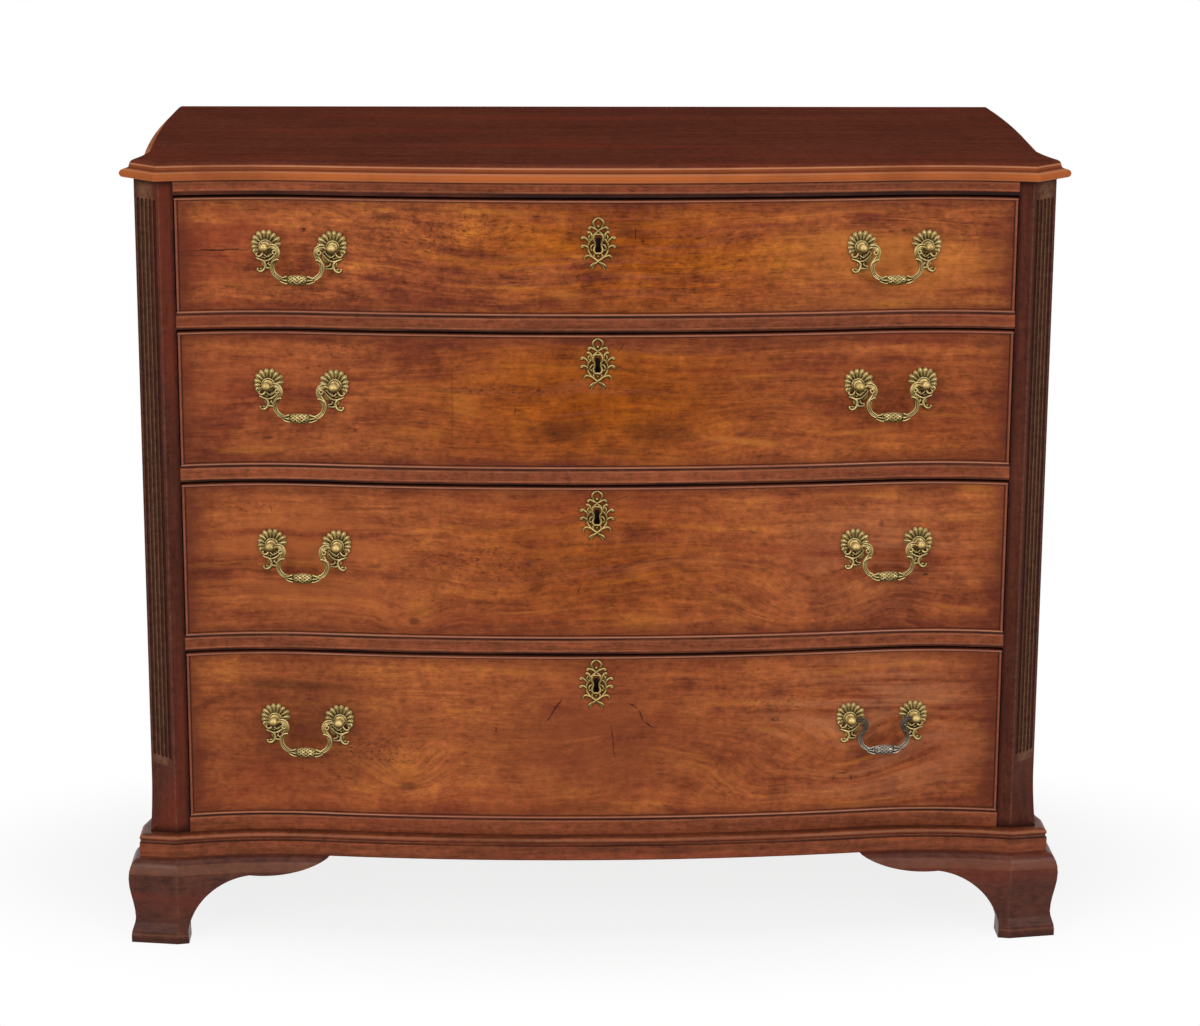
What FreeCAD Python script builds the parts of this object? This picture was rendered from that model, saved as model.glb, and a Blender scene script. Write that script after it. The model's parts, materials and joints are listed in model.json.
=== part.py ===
import FreeCAD, Part
import math
import os

import Sketcher
from FreeCAD import Placement, Rotation, Vector

# Driving sizes in millimetres: alias, value, meaning
SIZES = [
    ("carcase_width", 1038, "width over the side panels"),
    ("carcase_depth", 537, "corner arrises to the back"),
    ("corner_cant", 30, "cut-back of a canted corner, in width and in depth"),
    ("stile_width", 16, "front face of a corner post beside the drawers"),
    ("bulge", 15, "middle of the front, forward of the arrises"),
    ("hollow", 12, "deepest point of a hollow, behind the arrises"),
    ("hollow_at", 385, "deepest point of a hollow, from the middle"),
    ("side_hollow", 13, "deepest point of a side's hollow, inside its front corner"),
    ("side_hollow_at", 96, "that point behind the side's front corner"),
    ("side_swell", 3, "crest of a side's swell, inside its front corner"),
    ("side_swell_at", 391, "that crest behind the side's front corner"),
    ("facet_depth", 5, "outer end of a facet of the base, behind its arris"),
    ("facet_joint", 1.5, "joint of a facet of the base beside its arris, towards the middle"),
    ("foot_height", 102, "floor to the base moulding"),
    ("foot_reach", 25.5, "swell of the feet beyond the carcase faces"),
    ("foot_neck", 13.5, "top of the feet beyond the carcase faces"),
    ("foot_ankle", 19, "waist of the feet beyond the carcase faces"),
    ("foot_toe", 24, "toe of the feet beyond the carcase faces"),
    ("toe_height", 8, "upright band at the toe"),
    ("ankle_height", 29, "height of the waist of the feet"),
    ("swell_height", 79, "height of the swell of the feet"),
    ("foot_inset", 6, "inner faces of the brackets inside the carcase faces"),
    ("bracket_run", 178, "length of a bracket from its corner"),
    ("toe_run", 15, "length of a front toe from its corner"),
    ("back_toe_run", 44, "length of a back toe along the side"),
    ("arch_rise", 81, "height of the cusp under a bracket"),
    ("arch_run", 70, "cusp from the toe"),
    ("toe_rake", 2, "lean of the inner edge of a toe"),
    ("scroll_drop", 17, "lowest point of a bracket's scroll below its end"),
    ("back_bracket", 22, "thickness of the plain brackets at the back"),
    ("block_size", 40, "side of a glue block, from the carcase corner"),
    ("block_lift", 12, "glue blocks above the floor"),
    ("base_height", 27.5, "height of the base moulding"),
    ("base_reach", 12.6, "base moulding beyond the carcase faces"),
    ("fascia_height", 17, "plain band of the base moulding"),
    ("quirk_height", 1.8, "groove above the plain band"),
    ("quirk_depth", 1.8, "depth of that groove"),
    ("base_round", 7, "depth of the round above the groove"),
    ("bottom_rail", 19.5, "bottom rail above the base moulding"),
    ("rail", 18, "thickness of the drawer rails"),
    ("top_rail", 17, "thickness of the top rail"),
    ("opening_1", 134, "height of the top drawer opening"),
    ("opening_2", 158, "height of the second opening"),
    ("opening_3", 182, "height of the third opening"),
    ("opening_4", 200, "height of the bottom opening"),
    ("top_thickness", 20, "thickness of the top"),
    ("top_overhang", 14, "nose of the top beyond the carcase faces"),
    ("top_nose", 9.5, "height of the rounded nose of the top"),
    ("top_cove", 4.5, "height of the cove above the nose"),
    ("top_ovolo", 6, "radius of the upper round of the top"),
    ("top_inset", 2, "edge of the flat of the top, inside the carcase faces"),
    ("side_thickness", 20, "thickness of a side panel"),
    ("post_depth", 46, "depth of a corner post"),
    ("rail_depth", 60, "back of the rails behind the arrises"),
    ("back_thickness", 10, "thickness of the back boards"),
    ("back_rebate", 10, "width of the rebate for the back boards"),
    ("board_gap", 0.5, "gap between neighbouring back boards"),
    ("bottom_board", 16, "thickness of the carcase bottom"),
    ("dustboard", 8, "thickness of a dustboard"),
    ("runner_width", 56, "width of a runner from the side panel"),
    ("guide_height", 20, "height of a drawer guide"),
    ("stop_height", 5, "height of a drawer stop"),
    ("stop_length", 40, "length of a drawer stop"),
    ("stop_width", 9, "width of a drawer stop"),
    ("stop_at", 250, "drawer stop from the middle"),
    ("stop_gap", 0.5, "clearance between a shut drawer and its stop"),
    ("flute_pitch", 7, "spacing of the flutes"),
    ("flute_radius", 2.7, "radius of a flute"),
    ("flute_shallow", 0.5, "flute centre outside the canted face"),
    ("flute_top", 22, "upper end of the flutes below the top"),
    ("flute_foot", 218, "lower end of the flutes above the floor"),
    ("flare_height", 66, "height of the tongue at the post's foot"),
    ("flare_out", 18.5, "reach of that tongue at the base moulding"),
    ("drawer_gap", 2.5, "gap above a drawer front"),
    ("drawer_side_gap", 1, "gap at each end of a drawer front"),
    ("drawer_lift", 0.3, "clearance under a drawer"),
    ("front_thickness", 22, "thickness of a drawer front"),
    ("drawer_side", 10, "thickness of the drawer sides"),
    ("drawer_back", 10, "thickness of the drawer backs"),
    ("drawer_room", 37, "back end of the drawers before the back of the carcase"),
    ("side_drop", 3, "drawer sides below the top of the front"),
    ("back_drop", 8, "drawer backs below the top of the front"),
    ("drawer_bottom", 7, "thickness of a drawer bottom"),
    ("bottom_raise", 8, "drawer bottom above the lower edge of the sides"),
    ("groove", 4, "depth of the grooves that hold a drawer bottom"),
    ("dovetail_lap", 9, "wood left in front of the dovetails"),
    ("dovetail_width", 22, "width of a dovetail at its tip"),
    ("dovetail_taper", 3, "narrowing of each flank of a dovetail"),
    ("bead_width", 3, "thickness of a cockbead"),
    ("bead_depth", 8, "cockbead let in behind the drawer face"),
    ("bead_proud", 2.5, "cockbead before the drawer face"),
    ("keyhole_drop_1", 51, "keyhole below the top of the first drawer"),
    ("keyhole_drop_2", 35.5, "keyhole below the top of the second drawer"),
    ("keyhole_drop_3", 35.5, "keyhole below the top of the third drawer"),
    ("keyhole_drop_4", 35.5, "keyhole below the top of the fourth drawer"),
    ("keyhole_radius", 3.3, "round of the keyhole"),
    ("keyhole_slot", 5, "width of the keyhole's slot"),
    ("keyhole_height", 18.5, "height of the keyhole"),
    ("lock_width", 62, "width of a lock case"),
    ("lock_depth", 11, "lock case let into the front"),
    ("lock_below", 16, "lock case below the middle of the keyhole"),
    ("lock_cover", 0.8, "lock case behind the inner face of the front"),
    ("bolt_width", 25, "width of a lock bolt"),
    ("bolt_thickness", 6, "thickness of a lock bolt"),
    ("bolt_length", 22, "height of a lock bolt"),
    ("bolt_gap", 0.2, "clearance round a lock bolt"),
    ("bolt_back", 2.6, "bolt before the inner face of the front"),
    ("mortise_depth", 8.5, "mortise in the rail over a bolt"),
    ("mortise_margin", 1.5, "mortise wider than the bolt, all round"),
    ("escutcheon_height", 58, "height of an escutcheon"),
    ("plate_thickness", 2.2, "thickness of the brass plates"),
    ("handle_at", 334, "middle of a handle from the middle of the drawer"),
    ("handle_boring", 76, "spacing of the two posts of a handle"),
    ("handle_drop_1", 55.5, "handle posts below the top of the first drawer"),
    ("handle_drop_2", 61.5, "handle posts below the top of the second drawer"),
    ("handle_drop_3", 72.5, "handle posts below the top of the third drawer"),
    ("handle_drop_4", 81.5, "handle posts below the top of the fourth drawer"),
    ("rosette_radius", 18, "outer radius of the fan of a rosette"),
    ("foliage_drop", 31.5, "foliage of a rosette below its post"),
    ("pivot_out", 15, "bail pivot before the drawer face"),
    ("ball_radius", 5.3, "pommel of a post"),
    ("neck_radius", 3.2, "neck of a post"),
    ("collar_radius", 6.2, "collar of a post"),
    ("collar_height", 5.2, "front of the collar before the drawer face"),
    ("shank_radius", 2.5, "bolt of a post through the front"),
    ("shank_gap", 0.25, "clearance round that bolt"),
    ("shank_tail", 9, "bolt end behind the front"),
    ("nut_radius", 7, "nut behind the front"),
    ("nut_height", 4, "thickness of a nut"),
    ("nut_gap", 0.9, "nut behind the curved inner face"),
    ("pin_radius", 2, "pins at the ends of a bail"),
    ("pin_gap", 0.1, "running clearance round a pin"),
    ("pin_depth", 5, "pin inside the pommel"),
    ("bail_radius", 3, "thickness of the arms of a bail, as a radius"),
    ("bail_drop", 36, "grip of a bail below its pivot"),
    ("bail_gap", 1.2, "arm of a bail from the pommel"),
    ("shoulder_run", 4.7, "straight start of an arm"),
    ("shoulder_radius", 6.5, "turn at the start of an arm"),
    ("swan_radius", 10, "outward turn of an arm"),
    ("grip_radius", 5.2, "swell of the grip"),
    ("grip_end", 3.8, "radius at the ends of the grip's swell"),
    ("grip_half", 11, "half length of the grip"),
    ("grip_collar", 4.6, "radius of the grip's collars"),
    ("grip_band", 2, "width of the grip's collars"),
]

# Sizes that follow from the driving ones: alias, formula
DERIVED = [
    ("half_width", "carcase_width / 2"),
    ("arris", "half_width - corner_cant"),
    ("opening_half", "arris - stile_width"),
    ("drawer_half", "opening_half - drawer_side_gap"),
    ("inner_half", "half_width - side_thickness"),
    ("hollow_radius", "((arris - hollow_at)^2 + hollow^2) / (2 * hollow)"),
    ("bulge_radius", "(hollow_at^2 + (bulge + hollow)^2) / (2 * (bulge + hollow)) - hollow_radius"),
    ("inflection", "hollow_at * bulge_radius / (bulge_radius + hollow_radius)"),
    ("corner_sine", "(arris - hollow_at) / hollow_radius"),
    ("corner_cosine", "sqrt(1 - corner_sine^2)"),
    ("facet_slope", "facet_depth / corner_cant"),
    ("facet_cosine", "1 / sqrt(1 + facet_slope^2)"),
    ("facet_sine", "facet_slope * facet_cosine"),
    ("facet_turn", "corner_sine * facet_cosine + corner_cosine * facet_sine"),
    ("facet_mitre", "(corner_sine + facet_sine) / facet_turn"),
    ("facet_drift", "(corner_cosine - facet_cosine) / facet_turn"),
    ("corner_mitre", "(1 - facet_sine) / facet_cosine"),
    ("front", "(max(bulge + top_overhang; foot_reach * facet_mitre) - carcase_depth) / 2"),
    ("back", "front + carcase_depth"),
    ("hollow_centre", "front + hollow - hollow_radius"),
    ("bulge_centre", "front - bulge + bulge_radius"),
    ("shoulder", "front + corner_cant"),
    ("cant_distance", "(arris - front) / sqrt(2)"),
    ("facet_distance", "(arris * facet_slope - front) * facet_cosine"),
    ("side_hollow_y", "shoulder + side_hollow_at"),
    ("side_swell_y", "shoulder + side_swell_at"),
    ("side_hollow_radius", "(side_hollow_at^2 + side_hollow^2) / (2 * side_hollow)"),
    ("side_rise", "side_hollow - side_swell"),
    ("side_run", "side_swell_at - side_hollow_at"),
    ("side_swell_radius", "(side_run^2 + side_rise^2) / (2 * side_rise) - side_hollow_radius"),
    ("side_hollow_centre", "half_width - side_hollow + side_hollow_radius"),
    ("side_swell_centre", "half_width - side_swell - side_swell_radius"),
    ("side_end", "side_swell_centre + sqrt(side_swell_radius^2 - (back - side_swell_y)^2)"),
    ("base_top", "foot_height + base_height"),
    ("floor_4", "base_top + bottom_rail"),
    ("ceiling_4", "floor_4 + opening_4"),
    ("floor_3", "ceiling_4 + rail"),
    ("ceiling_3", "floor_3 + opening_3"),
    ("floor_2", "ceiling_3 + rail"),
    ("ceiling_2", "floor_2 + opening_2"),
    ("floor_1", "ceiling_2 + rail"),
    ("ceiling_1", "floor_1 + opening_1"),
    ("top_level", "ceiling_1 + top_rail"),
    ("total_height", "top_level + top_thickness"),
    ("edge_reach", "drawer_half - bead_width / 2 - hollow_at"),
    ("edge_face", "hollow_centre + sqrt(hollow_radius^2 - edge_reach^2)"),
    ("inner_face", "front - bulge + front_thickness"),
    ("post_near", "handle_at - handle_boring / 2"),
    ("post_far", "handle_at + handle_boring / 2"),
    ("near_bulge", "bulge_centre - sqrt(bulge_radius^2 - post_near^2)"),
    ("near_hollow", "hollow_centre + sqrt(hollow_radius^2 - (post_near - hollow_at)^2)"),
    ("near_face", "post_near < inflection ? near_bulge : near_hollow"),
    ("far_face", "hollow_centre + sqrt(hollow_radius^2 - (post_far - hollow_at)^2)"),
    ("handle_slope", "(far_face - near_face) / handle_boring"),
    ("handle_face", "(far_face + near_face) / 2"),
    ("half_chord", "handle_boring / 2 * sqrt(1 + handle_slope^2)"),
]

# Counts of like pieces
FLUTES = 5
BACK_BOARDS = 5
FAN_PETALS = 16
DOVETAILS = {1: 3, 2: 4, 3: 4, 4: 5}

# Shares and angles of the drawn curves
FLARE_BOW = (0.22, 0.48)
ARCH_TOE = 0.6
ARCH_HOLLOW = (0.24, 0.66)
ARCH_SCROLL = 0.55
PETAL_VALLEY = 0.9
SWAN_TURN = math.radians(50)
SWAN_EASE = math.radians(20)
EIGHTH_TURN = math.sqrt(0.5)

# Heights that the two brass outlines are drawn at
ESCUTCHEON_DRAWN = 58
FOLIAGE_DRAWN = 31.5

# How far cutting tools run past what they cut
OVERSHOOT = 40
CLEAR = 200
MITRE_INSIDE = 24
MITRE_OUTSIDE = 60
TAIL_SPARE = 4

doc = FreeCAD.newDocument("serpentine_chest")
sheet = doc.addObject("Spreadsheet::Sheet", "Sizes")
for row, (alias, value, meaning) in enumerate(SIZES, 1):
    sheet.set(f"A{row}", meaning)
    sheet.set(f"B{row}", str(value))
    sheet.setAlias(f"B{row}", alias)
for row, (alias, formula) in enumerate(DERIVED, len(SIZES) + 2):
    sheet.set(f"B{row}", f"={formula}")
    sheet.setAlias(f"B{row}", alias)
doc.recompute()


class Size:
    """A length held both as a number and as the cell formula that it comes from."""

    def __init__(self, text, value):
        self.text = text
        self.value = value

    def __add__(self, other):
        other = as_size(other)
        return Size(f"({self.text} + {other.text})", self.value + other.value)

    def __sub__(self, other):
        other = as_size(other)
        return Size(f"({self.text} - {other.text})", self.value - other.value)

    def __mul__(self, other):
        other = as_size(other)
        return Size(f"({self.text} * {other.text})", self.value * other.value)

    def __truediv__(self, other):
        other = as_size(other)
        return Size(f"({self.text} / {other.text})", self.value / other.value)

    def __neg__(self):
        return Size(f"(-{self.text})", -self.value)

    def __radd__(self, other):
        return as_size(other) + self

    def __rsub__(self, other):
        return as_size(other) - self

    def __rmul__(self, other):
        return as_size(other) * self


class Cells:
    """Reads a cell of the sheet by its alias."""

    def __getattr__(self, alias):
        return Size(f"Sizes.{alias}", float(sheet.get(alias)))


def as_size(value):
    if isinstance(value, Size):
        return value
    return Size(f"({value:.9g})", float(value))


S = Cells()


def bind(obj, path, value):
    obj.setExpression(path, as_size(value).text)


def place(obj, x=0, y=0, z=0):
    bind(obj, "Placement.Base.x", x)
    bind(obj, "Placement.Base.y", y)
    bind(obj, "Placement.Base.z", z)
    return obj


# Solids and booleans
def board(x, y, z, name="board"):
    """A box between two bounds on each axis."""
    box = doc.addObject("Part::Box", name)
    for prop, (low, high) in (("Length", x), ("Width", y), ("Height", z)):
        bind(box, prop, as_size(high) - low)
    return place(box, x[0], y[0], z[0])


def rod(axis, start, radius, length, name="rod"):
    """A cylinder that starts at a point and runs along an axis."""
    cylinder = doc.addObject("Part::Cylinder", name)
    cylinder.Placement = Placement(Vector(), Rotation(Vector(0, 0, 1), Vector(*axis)))
    bind(cylinder, "Radius", radius)
    bind(cylinder, "Height", length)
    return place(cylinder, *start)


def ball(centre, radius, name="ball"):
    sphere = doc.addObject("Part::Sphere", name)
    bind(sphere, "Radius", radius)
    return place(sphere, *centre)


def common(first, second, name="common"):
    result = doc.addObject("Part::Common", name)
    result.Base = first
    result.Tool = second
    return result


def cut(base, *tools, name="cut"):
    for tool in tools:
        result = doc.addObject("Part::Cut", name if tool is tools[-1] else "cut")
        result.Base = base
        result.Tool = tool
        base = result
    return base


def fuse(*shapes, name="fuse"):
    result = doc.addObject("Part::MultiFuse", name)
    result.Shapes = list(shapes)
    return result


def group(*shapes, name="group"):
    result = doc.addObject("Part::Compound", name)
    result.Links = list(shapes)
    return result


def mirror(source, name="mirror"):
    """The same piece on the other side of the middle."""
    result = doc.addObject("Part::Mirroring", name)
    result.Source = source
    result.Normal = Vector(1, 0, 0)
    return result


def extrude(profile, direction, length, name="extrusion"):
    result = doc.addObject("Part::Extrusion", name)
    result.Base = profile
    result.DirMode = "Custom"
    result.Dir = Vector(*direction)
    result.Solid = True
    bind(result, "LengthFwd", length)
    return result


def loft(sections, name="loft"):
    result = doc.addObject("Part::Loft", name)
    result.Sections = sections
    result.Solid = True
    result.Ruled = True
    return result


PARTS = []


def node(obj, label):
    """Names a finished sub-part, which gives its file its name."""
    obj.Label = label
    PARTS.append(obj)
    return obj


# Sketches
FACING_FRONT = Rotation(Vector(1, 0, 0), 90)
FACING_SIDE = Rotation(Vector(1, 1, 1), 120)


def hold(sketch, edge, end, point):
    """Keeps a point of a sketch at its place."""
    for kind, value in zip(("DistanceX", "DistanceY"), point):
        value = as_size(value)
        index = sketch.addConstraint(Sketcher.Constraint(kind, edge, end, value.value))
        sketch.setExpression(f"Constraints[{index}]", value.text)


def outline(start, steps, turn=Rotation(), origin=(0, 0, 0), closed=True, name="outline"):
    """A sketch of lines and arcs: each step is (end,) or (middle, end), all in sizes."""
    def spot(point):
        return Vector(*(as_size(part).value for part in point), 0)

    sketch = doc.addObject("Sketcher::SketchObject", name)
    sketch.Placement = Placement(Vector(), turn)
    place(sketch, *origin)
    points = [start] + [step[-1] for step in steps]
    spots = [spot(point) for point in points]
    ends = []
    for index, step in enumerate(steps):
        here, there = spots[index], spots[index + 1]
        if len(step) == 1:
            edge = sketch.addGeometry(Part.LineSegment(here, there))
            ends.append((edge, 1, 2))
            continue
        edge = sketch.addGeometry(Part.ArcOfCircle(here, spot(step[0]), there))
        forward = (sketch.getPoint(edge, 1) - here).Length < (sketch.getPoint(edge, 2) - here).Length
        ends.append((edge, 1, 2) if forward else (edge, 2, 1))
        middle = sketch.addGeometry(Part.Point(spot(step[0])), True)
        hold(sketch, middle, 1, step[0])
        sketch.addConstraint(Sketcher.Constraint("PointOnObject", middle, 1, edge))
    meetings = list(zip(ends, ends[1:]))
    if closed:
        meetings.append((ends[-1], ends[0]))
    for (edge, _, tail), (following, head, _) in meetings:
        sketch.addConstraint(Sketcher.Constraint("Coincident", edge, tail, following, head))
    held = [(edge, head) for edge, head, _ in ends]
    if not closed:
        held.append((ends[-1][0], ends[-1][2]))
    for (edge, end), point in zip(held, points):
        hold(sketch, edge, end, point)
    return sketch


def plan(offset, level, name="plan", squared=False):
    """The chest's outline seen from above, grown outward by an offset, with the back kept in place.

    Its corners are canted, or squared to a nearly frontal facet as they are at the base.
    """
    offset = as_size(offset)
    slope = S.facet_slope if squared else as_size(1)
    facet_distance = (S.facet_distance if squared else S.cant_distance) + offset
    side_line = S.half_width + offset
    hollow_radius = S.hollow_radius - offset
    bulge_radius = S.bulge_radius + offset
    side_hollow_radius = S.side_hollow_radius - offset
    side_swell_radius = S.side_swell_radius + offset
    bulge_centre = Vector(0, S.bulge_centre.value, 0)
    hollow_centre = Vector(S.hollow_at.value, S.hollow_centre.value, 0)
    side_hollow = Vector(S.side_hollow_centre.value, S.side_hollow_y.value, 0)
    side_swell = Vector(S.side_swell_centre.value, S.side_swell_y.value, 0)
    along = Vector(1, slope.value, 0).normalize()
    facet_foot = Vector(along.y, -along.x, 0) * facet_distance.value

    def joint(big, small, radius):
        return big + (small - big).normalize() * radius.value

    def flip(point):
        return Vector(-point.x, point.y, 0)

    def arc(middle, radius, first, last):
        start, end = [math.atan2(p.y - middle.y, p.x - middle.x) for p in (first, last)]
        if end < start:
            end += 2 * math.pi
        return Part.ArcOfCircle(Part.Circle(middle, Vector(0, 0, 1), radius.value), start, end)

    def meet(centre, radius, way):
        """Where the line of a corner's facet crosses a curve."""
        reach = facet_foot - centre
        lean = reach.dot(along)
        return facet_foot + along * (way * math.sqrt(radius.value**2 - reach.Length**2 + lean**2) - lean)

    front_joint = joint(bulge_centre, hollow_centre, bulge_radius)
    side_joint = joint(side_swell, side_hollow, side_swell_radius)
    arris = meet(hollow_centre, hollow_radius, 1)
    shoulder = corner = meet(side_hollow, side_hollow_radius, -1)
    if squared:
        run = side_hollow.x - side_line.value
        rise = math.sqrt(side_hollow_radius.value**2 - run**2)
        shoulder = Vector(side_line.value, side_hollow.y - rise, 0)
        corner = facet_foot + along * ((side_line.value - facet_foot.x) / along.x)
    depth = S.back.value - side_swell.y
    end = Vector(side_swell.x + math.sqrt(side_swell_radius.value**2 - depth**2), S.back.value, 0)
    curves = {
        "left_swell": arc(flip(side_swell), side_swell_radius, flip(end), flip(side_joint)),
        "left_hollow": arc(flip(side_hollow), side_hollow_radius, flip(shoulder), flip(side_joint)),
        "left_return": Part.LineSegment(flip(shoulder), flip(corner)) if squared else None,
        "left_facet": Part.LineSegment(flip(corner), flip(arris)),
        "left_front": arc(flip(hollow_centre), hollow_radius, flip(front_joint), flip(arris)),
        "middle": arc(bulge_centre, bulge_radius, flip(front_joint), front_joint),
        "right_front": arc(hollow_centre, hollow_radius, arris, front_joint),
        "right_facet": Part.LineSegment(arris, corner),
        "right_return": Part.LineSegment(corner, shoulder) if squared else None,
        "right_hollow": arc(side_hollow, side_hollow_radius, side_joint, shoulder),
        "right_swell": arc(side_swell, side_swell_radius, side_joint, end),
        "back": Part.LineSegment(end, flip(end)),
    }
    sketch = doc.addObject("Sketcher::SketchObject", name)
    place(sketch, 0, 0, level)
    edge = {key: sketch.addGeometry(curve) for key, curve in curves.items() if curve}
    edge["origin"], edge["y_axis"] = -1, -2
    rules = [
        ("Tangent", "left_swell", 2, "left_hollow", 2), ("Coincident", "left_facet", 2, "left_front", 2),
        ("Tangent", "left_front", 1, "middle", 1), ("Tangent", "middle", 2, "right_front", 2),
        ("Coincident", "right_front", 1, "right_facet", 1), ("Tangent", "right_hollow", 1, "right_swell", 1),
        ("Coincident", "right_swell", 2, "back", 1), ("Coincident", "back", 2, "left_swell", 1),
        ("Horizontal", "back"), ("Equal", "left_front", "right_front"),
        ("Horizontal", "left_front", 3, "right_front", 3), ("PointOnObject", "middle", 3, "y_axis"),
        ("Equal", "left_hollow", "right_hollow"), ("Symmetric", "left_hollow", 3, "right_hollow", 3, "y_axis"),
        ("Equal", "left_swell", "right_swell"), ("Horizontal", "left_swell", 3, "right_swell", 3),
    ]
    sizes = [
        ("DistanceY", "back", 1, S.back), ("DistanceX", "left_front", 3, -S.hollow_at),
        ("DistanceY", "left_front", 3, S.hollow_centre), ("Radius", "left_front", hollow_radius),
        ("Radius", "middle", bulge_radius), ("DistanceX", "left_hollow", 3, -S.side_hollow_centre),
        ("DistanceY", "left_hollow", 3, S.side_hollow_y), ("Radius", "left_hollow", side_hollow_radius),
        ("Radius", "left_swell", side_swell_radius), ("DistanceY", "left_swell", 3, S.side_swell_y),
        ("Distance", "origin", 1, "left_facet", facet_distance),
        ("Distance", "origin", 1, "right_facet", facet_distance),
    ]
    if squared:
        rules += [
            ("Coincident", "left_hollow", 1, "left_return", 1), ("Coincident", "left_return", 2, "left_facet", 1),
            ("Coincident", "right_facet", 2, "right_return", 1), ("Vertical", "left_return"),
            ("Coincident", "right_return", 2, "right_hollow", 2), ("Vertical", "right_return"),
        ]
        sizes += [("DistanceX", "left_return", 1, -side_line), ("DistanceX", "right_return", 1, side_line)]
    else:
        rules += [
            ("Coincident", "left_hollow", 1, "left_facet", 1), ("Coincident", "right_facet", 2, "right_hollow", 2),
        ]
    for rule in rules:
        sketch.addConstraint(Sketcher.Constraint(rule[0], *(edge.get(part, part) for part in rule[1:])))
    for *rule, size in sizes:
        parts = [edge.get(part, part) for part in rule[1:]]
        index = sketch.addConstraint(Sketcher.Constraint(rule[0], *parts, size.value))
        sketch.setExpression(f"Constraints[{index}]", size.text)
    for key, way in (("left_facet", -1), ("right_facet", 1)):
        turn = math.atan(slope.value) * way
        index = sketch.addConstraint(Sketcher.Constraint("Angle", edge[key], turn))
        sketch.setExpression(f"Constraints[{index}]", f"atan({slope.text}) * {way}")
    return sketch


def template(offset, name="template", squared=False):
    """A tall block of the chest's outline, to shape boards with."""
    shape = plan(offset, -CLEAR, squared=squared)
    return extrude(shape, (0, 0, 1), S.total_height + 2 * CLEAR, name)


def moulding(profile, level, name="moulding", squared=False):
    """A solid whose edge follows a profile of (offset, height) all round the outline."""
    return loft([plan(offset, level + height, squared=squared) for offset, height in profile], name)


def at_height(level, *shapes, name="at_height"):
    """Pieces made at height zero, brought up to their level."""
    return place(group(*shapes, name=name), 0, 0, level)


face = template(0, "face_template")
inner = template(-S.front_thickness, "inner_template")
side_inner = template(-S.side_thickness, "side_template")
levels = {n: (getattr(S, f"floor_{n}"), getattr(S, f"ceiling_{n}")) for n in (1, 2, 3, 4)}
rail_back = S.front + S.rail_depth
panel_back = S.back - S.back_thickness
full_front = (S.front - OVERSHOOT, rail_back)


# Carcase boards
def top_board():
    nose = S.top_nose / 2
    under = S.top_overhang - nose
    turns = [math.radians(angle) for angle in range(-90, 91, 30)]
    profile = [(under + nose * math.cos(a), nose + nose * math.sin(a)) for a in turns]
    upper_reach = S.top_thickness - S.top_ovolo
    cove_run = under - S.top_ovolo + S.top_inset
    cove_turns = [math.radians(angle) for angle in (30, 60, 90)]
    profile += [
        (under - cove_run * math.sin(a), S.top_nose + S.top_cove * (1 - math.cos(a))) for a in cove_turns
    ]
    ovolo_turns = [math.radians(angle) for angle in (20, 45, 70, 90)]
    profile += [
        (S.top_ovolo * math.cos(a) - S.top_inset, upper_reach + S.top_ovolo * math.sin(a))
        for a in ovolo_turns
    ]
    node(moulding(profile, S.top_level, "top_board"), "top_board")


def side_panels():
    plank = board((-S.half_width, 0), (S.front + S.post_depth, S.back), (S.foot_height, S.top_level))
    rebate = board(
        (S.back_rebate - S.side_end, S.back_rebate), (panel_back, S.back + OVERSHOOT), (0, S.total_height)
    )
    left = cut(common(plank, face), side_inner, rebate, name="left_side_panel")
    node(left, "left_side_panel")
    node(mirror(left), "right_side_panel")


def corner_posts():
    block = common(
        board((-S.half_width, -S.opening_half), (S.front - OVERSHOOT, S.front + S.post_depth),
              (S.foot_height, S.top_level)),
        face,
    )
    middle_x = -(S.half_width + S.arris) / 2
    middle_y = S.front + S.corner_cant / 2
    low = S.flute_foot + S.flute_radius
    high = S.top_level - S.flute_top - S.flute_radius
    flutes = []
    for index in range(FLUTES):
        along = S.flute_pitch * (index - (FLUTES - 1) / 2)
        x = middle_x + (along - S.flute_shallow) * EIGHTH_TURN
        y = middle_y - (along + S.flute_shallow) * EIGHTH_TURN
        groove = rod((0, 0, 1), (x, y, low), S.flute_radius, high - low)
        flutes += [groove, ball((x, y, low), S.flute_radius), ball((x, y, high), S.flute_radius)]
    fluted = cut(block, fuse(*flutes))
    width = S.corner_cant * math.sqrt(2)
    flare_top = S.base_top + S.flare_height
    bow = (-S.flare_out * FLARE_BOW[0], S.base_top + S.flare_height * FLARE_BOW[1])
    flare_face = outline(
        (0, S.foot_height), [
            ((-S.flare_out, S.foot_height),), ((-S.flare_out, S.base_top),), (bow, (0, flare_top)),
            ((S.flare_out, flare_top),), ((S.flare_out, S.foot_height),), ((0, S.foot_height),),
        ], FACING_SIDE, name="flare_profile",
    )
    flare = extrude(flare_face, (1, 0, 0), width)
    flare.Placement.Rotation = Rotation(Vector(0, 0, 1), -45)
    place(flare, -S.half_width, S.front + S.corner_cant, 0)
    tongue = common(flare, template(0, "squared_template", squared=True))
    left = fuse(fluted, tongue, name="left_corner_post")
    right = mirror(left)
    node(left, "left_corner_post")
    node(right, "right_corner_post")
    return left, right


def mortise(level):
    """The pocket in a rail that takes the bolt of the drawer below it."""
    half = S.bolt_width / 2 + S.mortise_margin
    middle = S.inner_face - S.bolt_back - S.bolt_thickness / 2
    reach = S.bolt_thickness / 2 + S.mortise_margin
    return board((-half, half), (middle - reach, middle + reach), (level - 1, level + S.mortise_depth))


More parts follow.
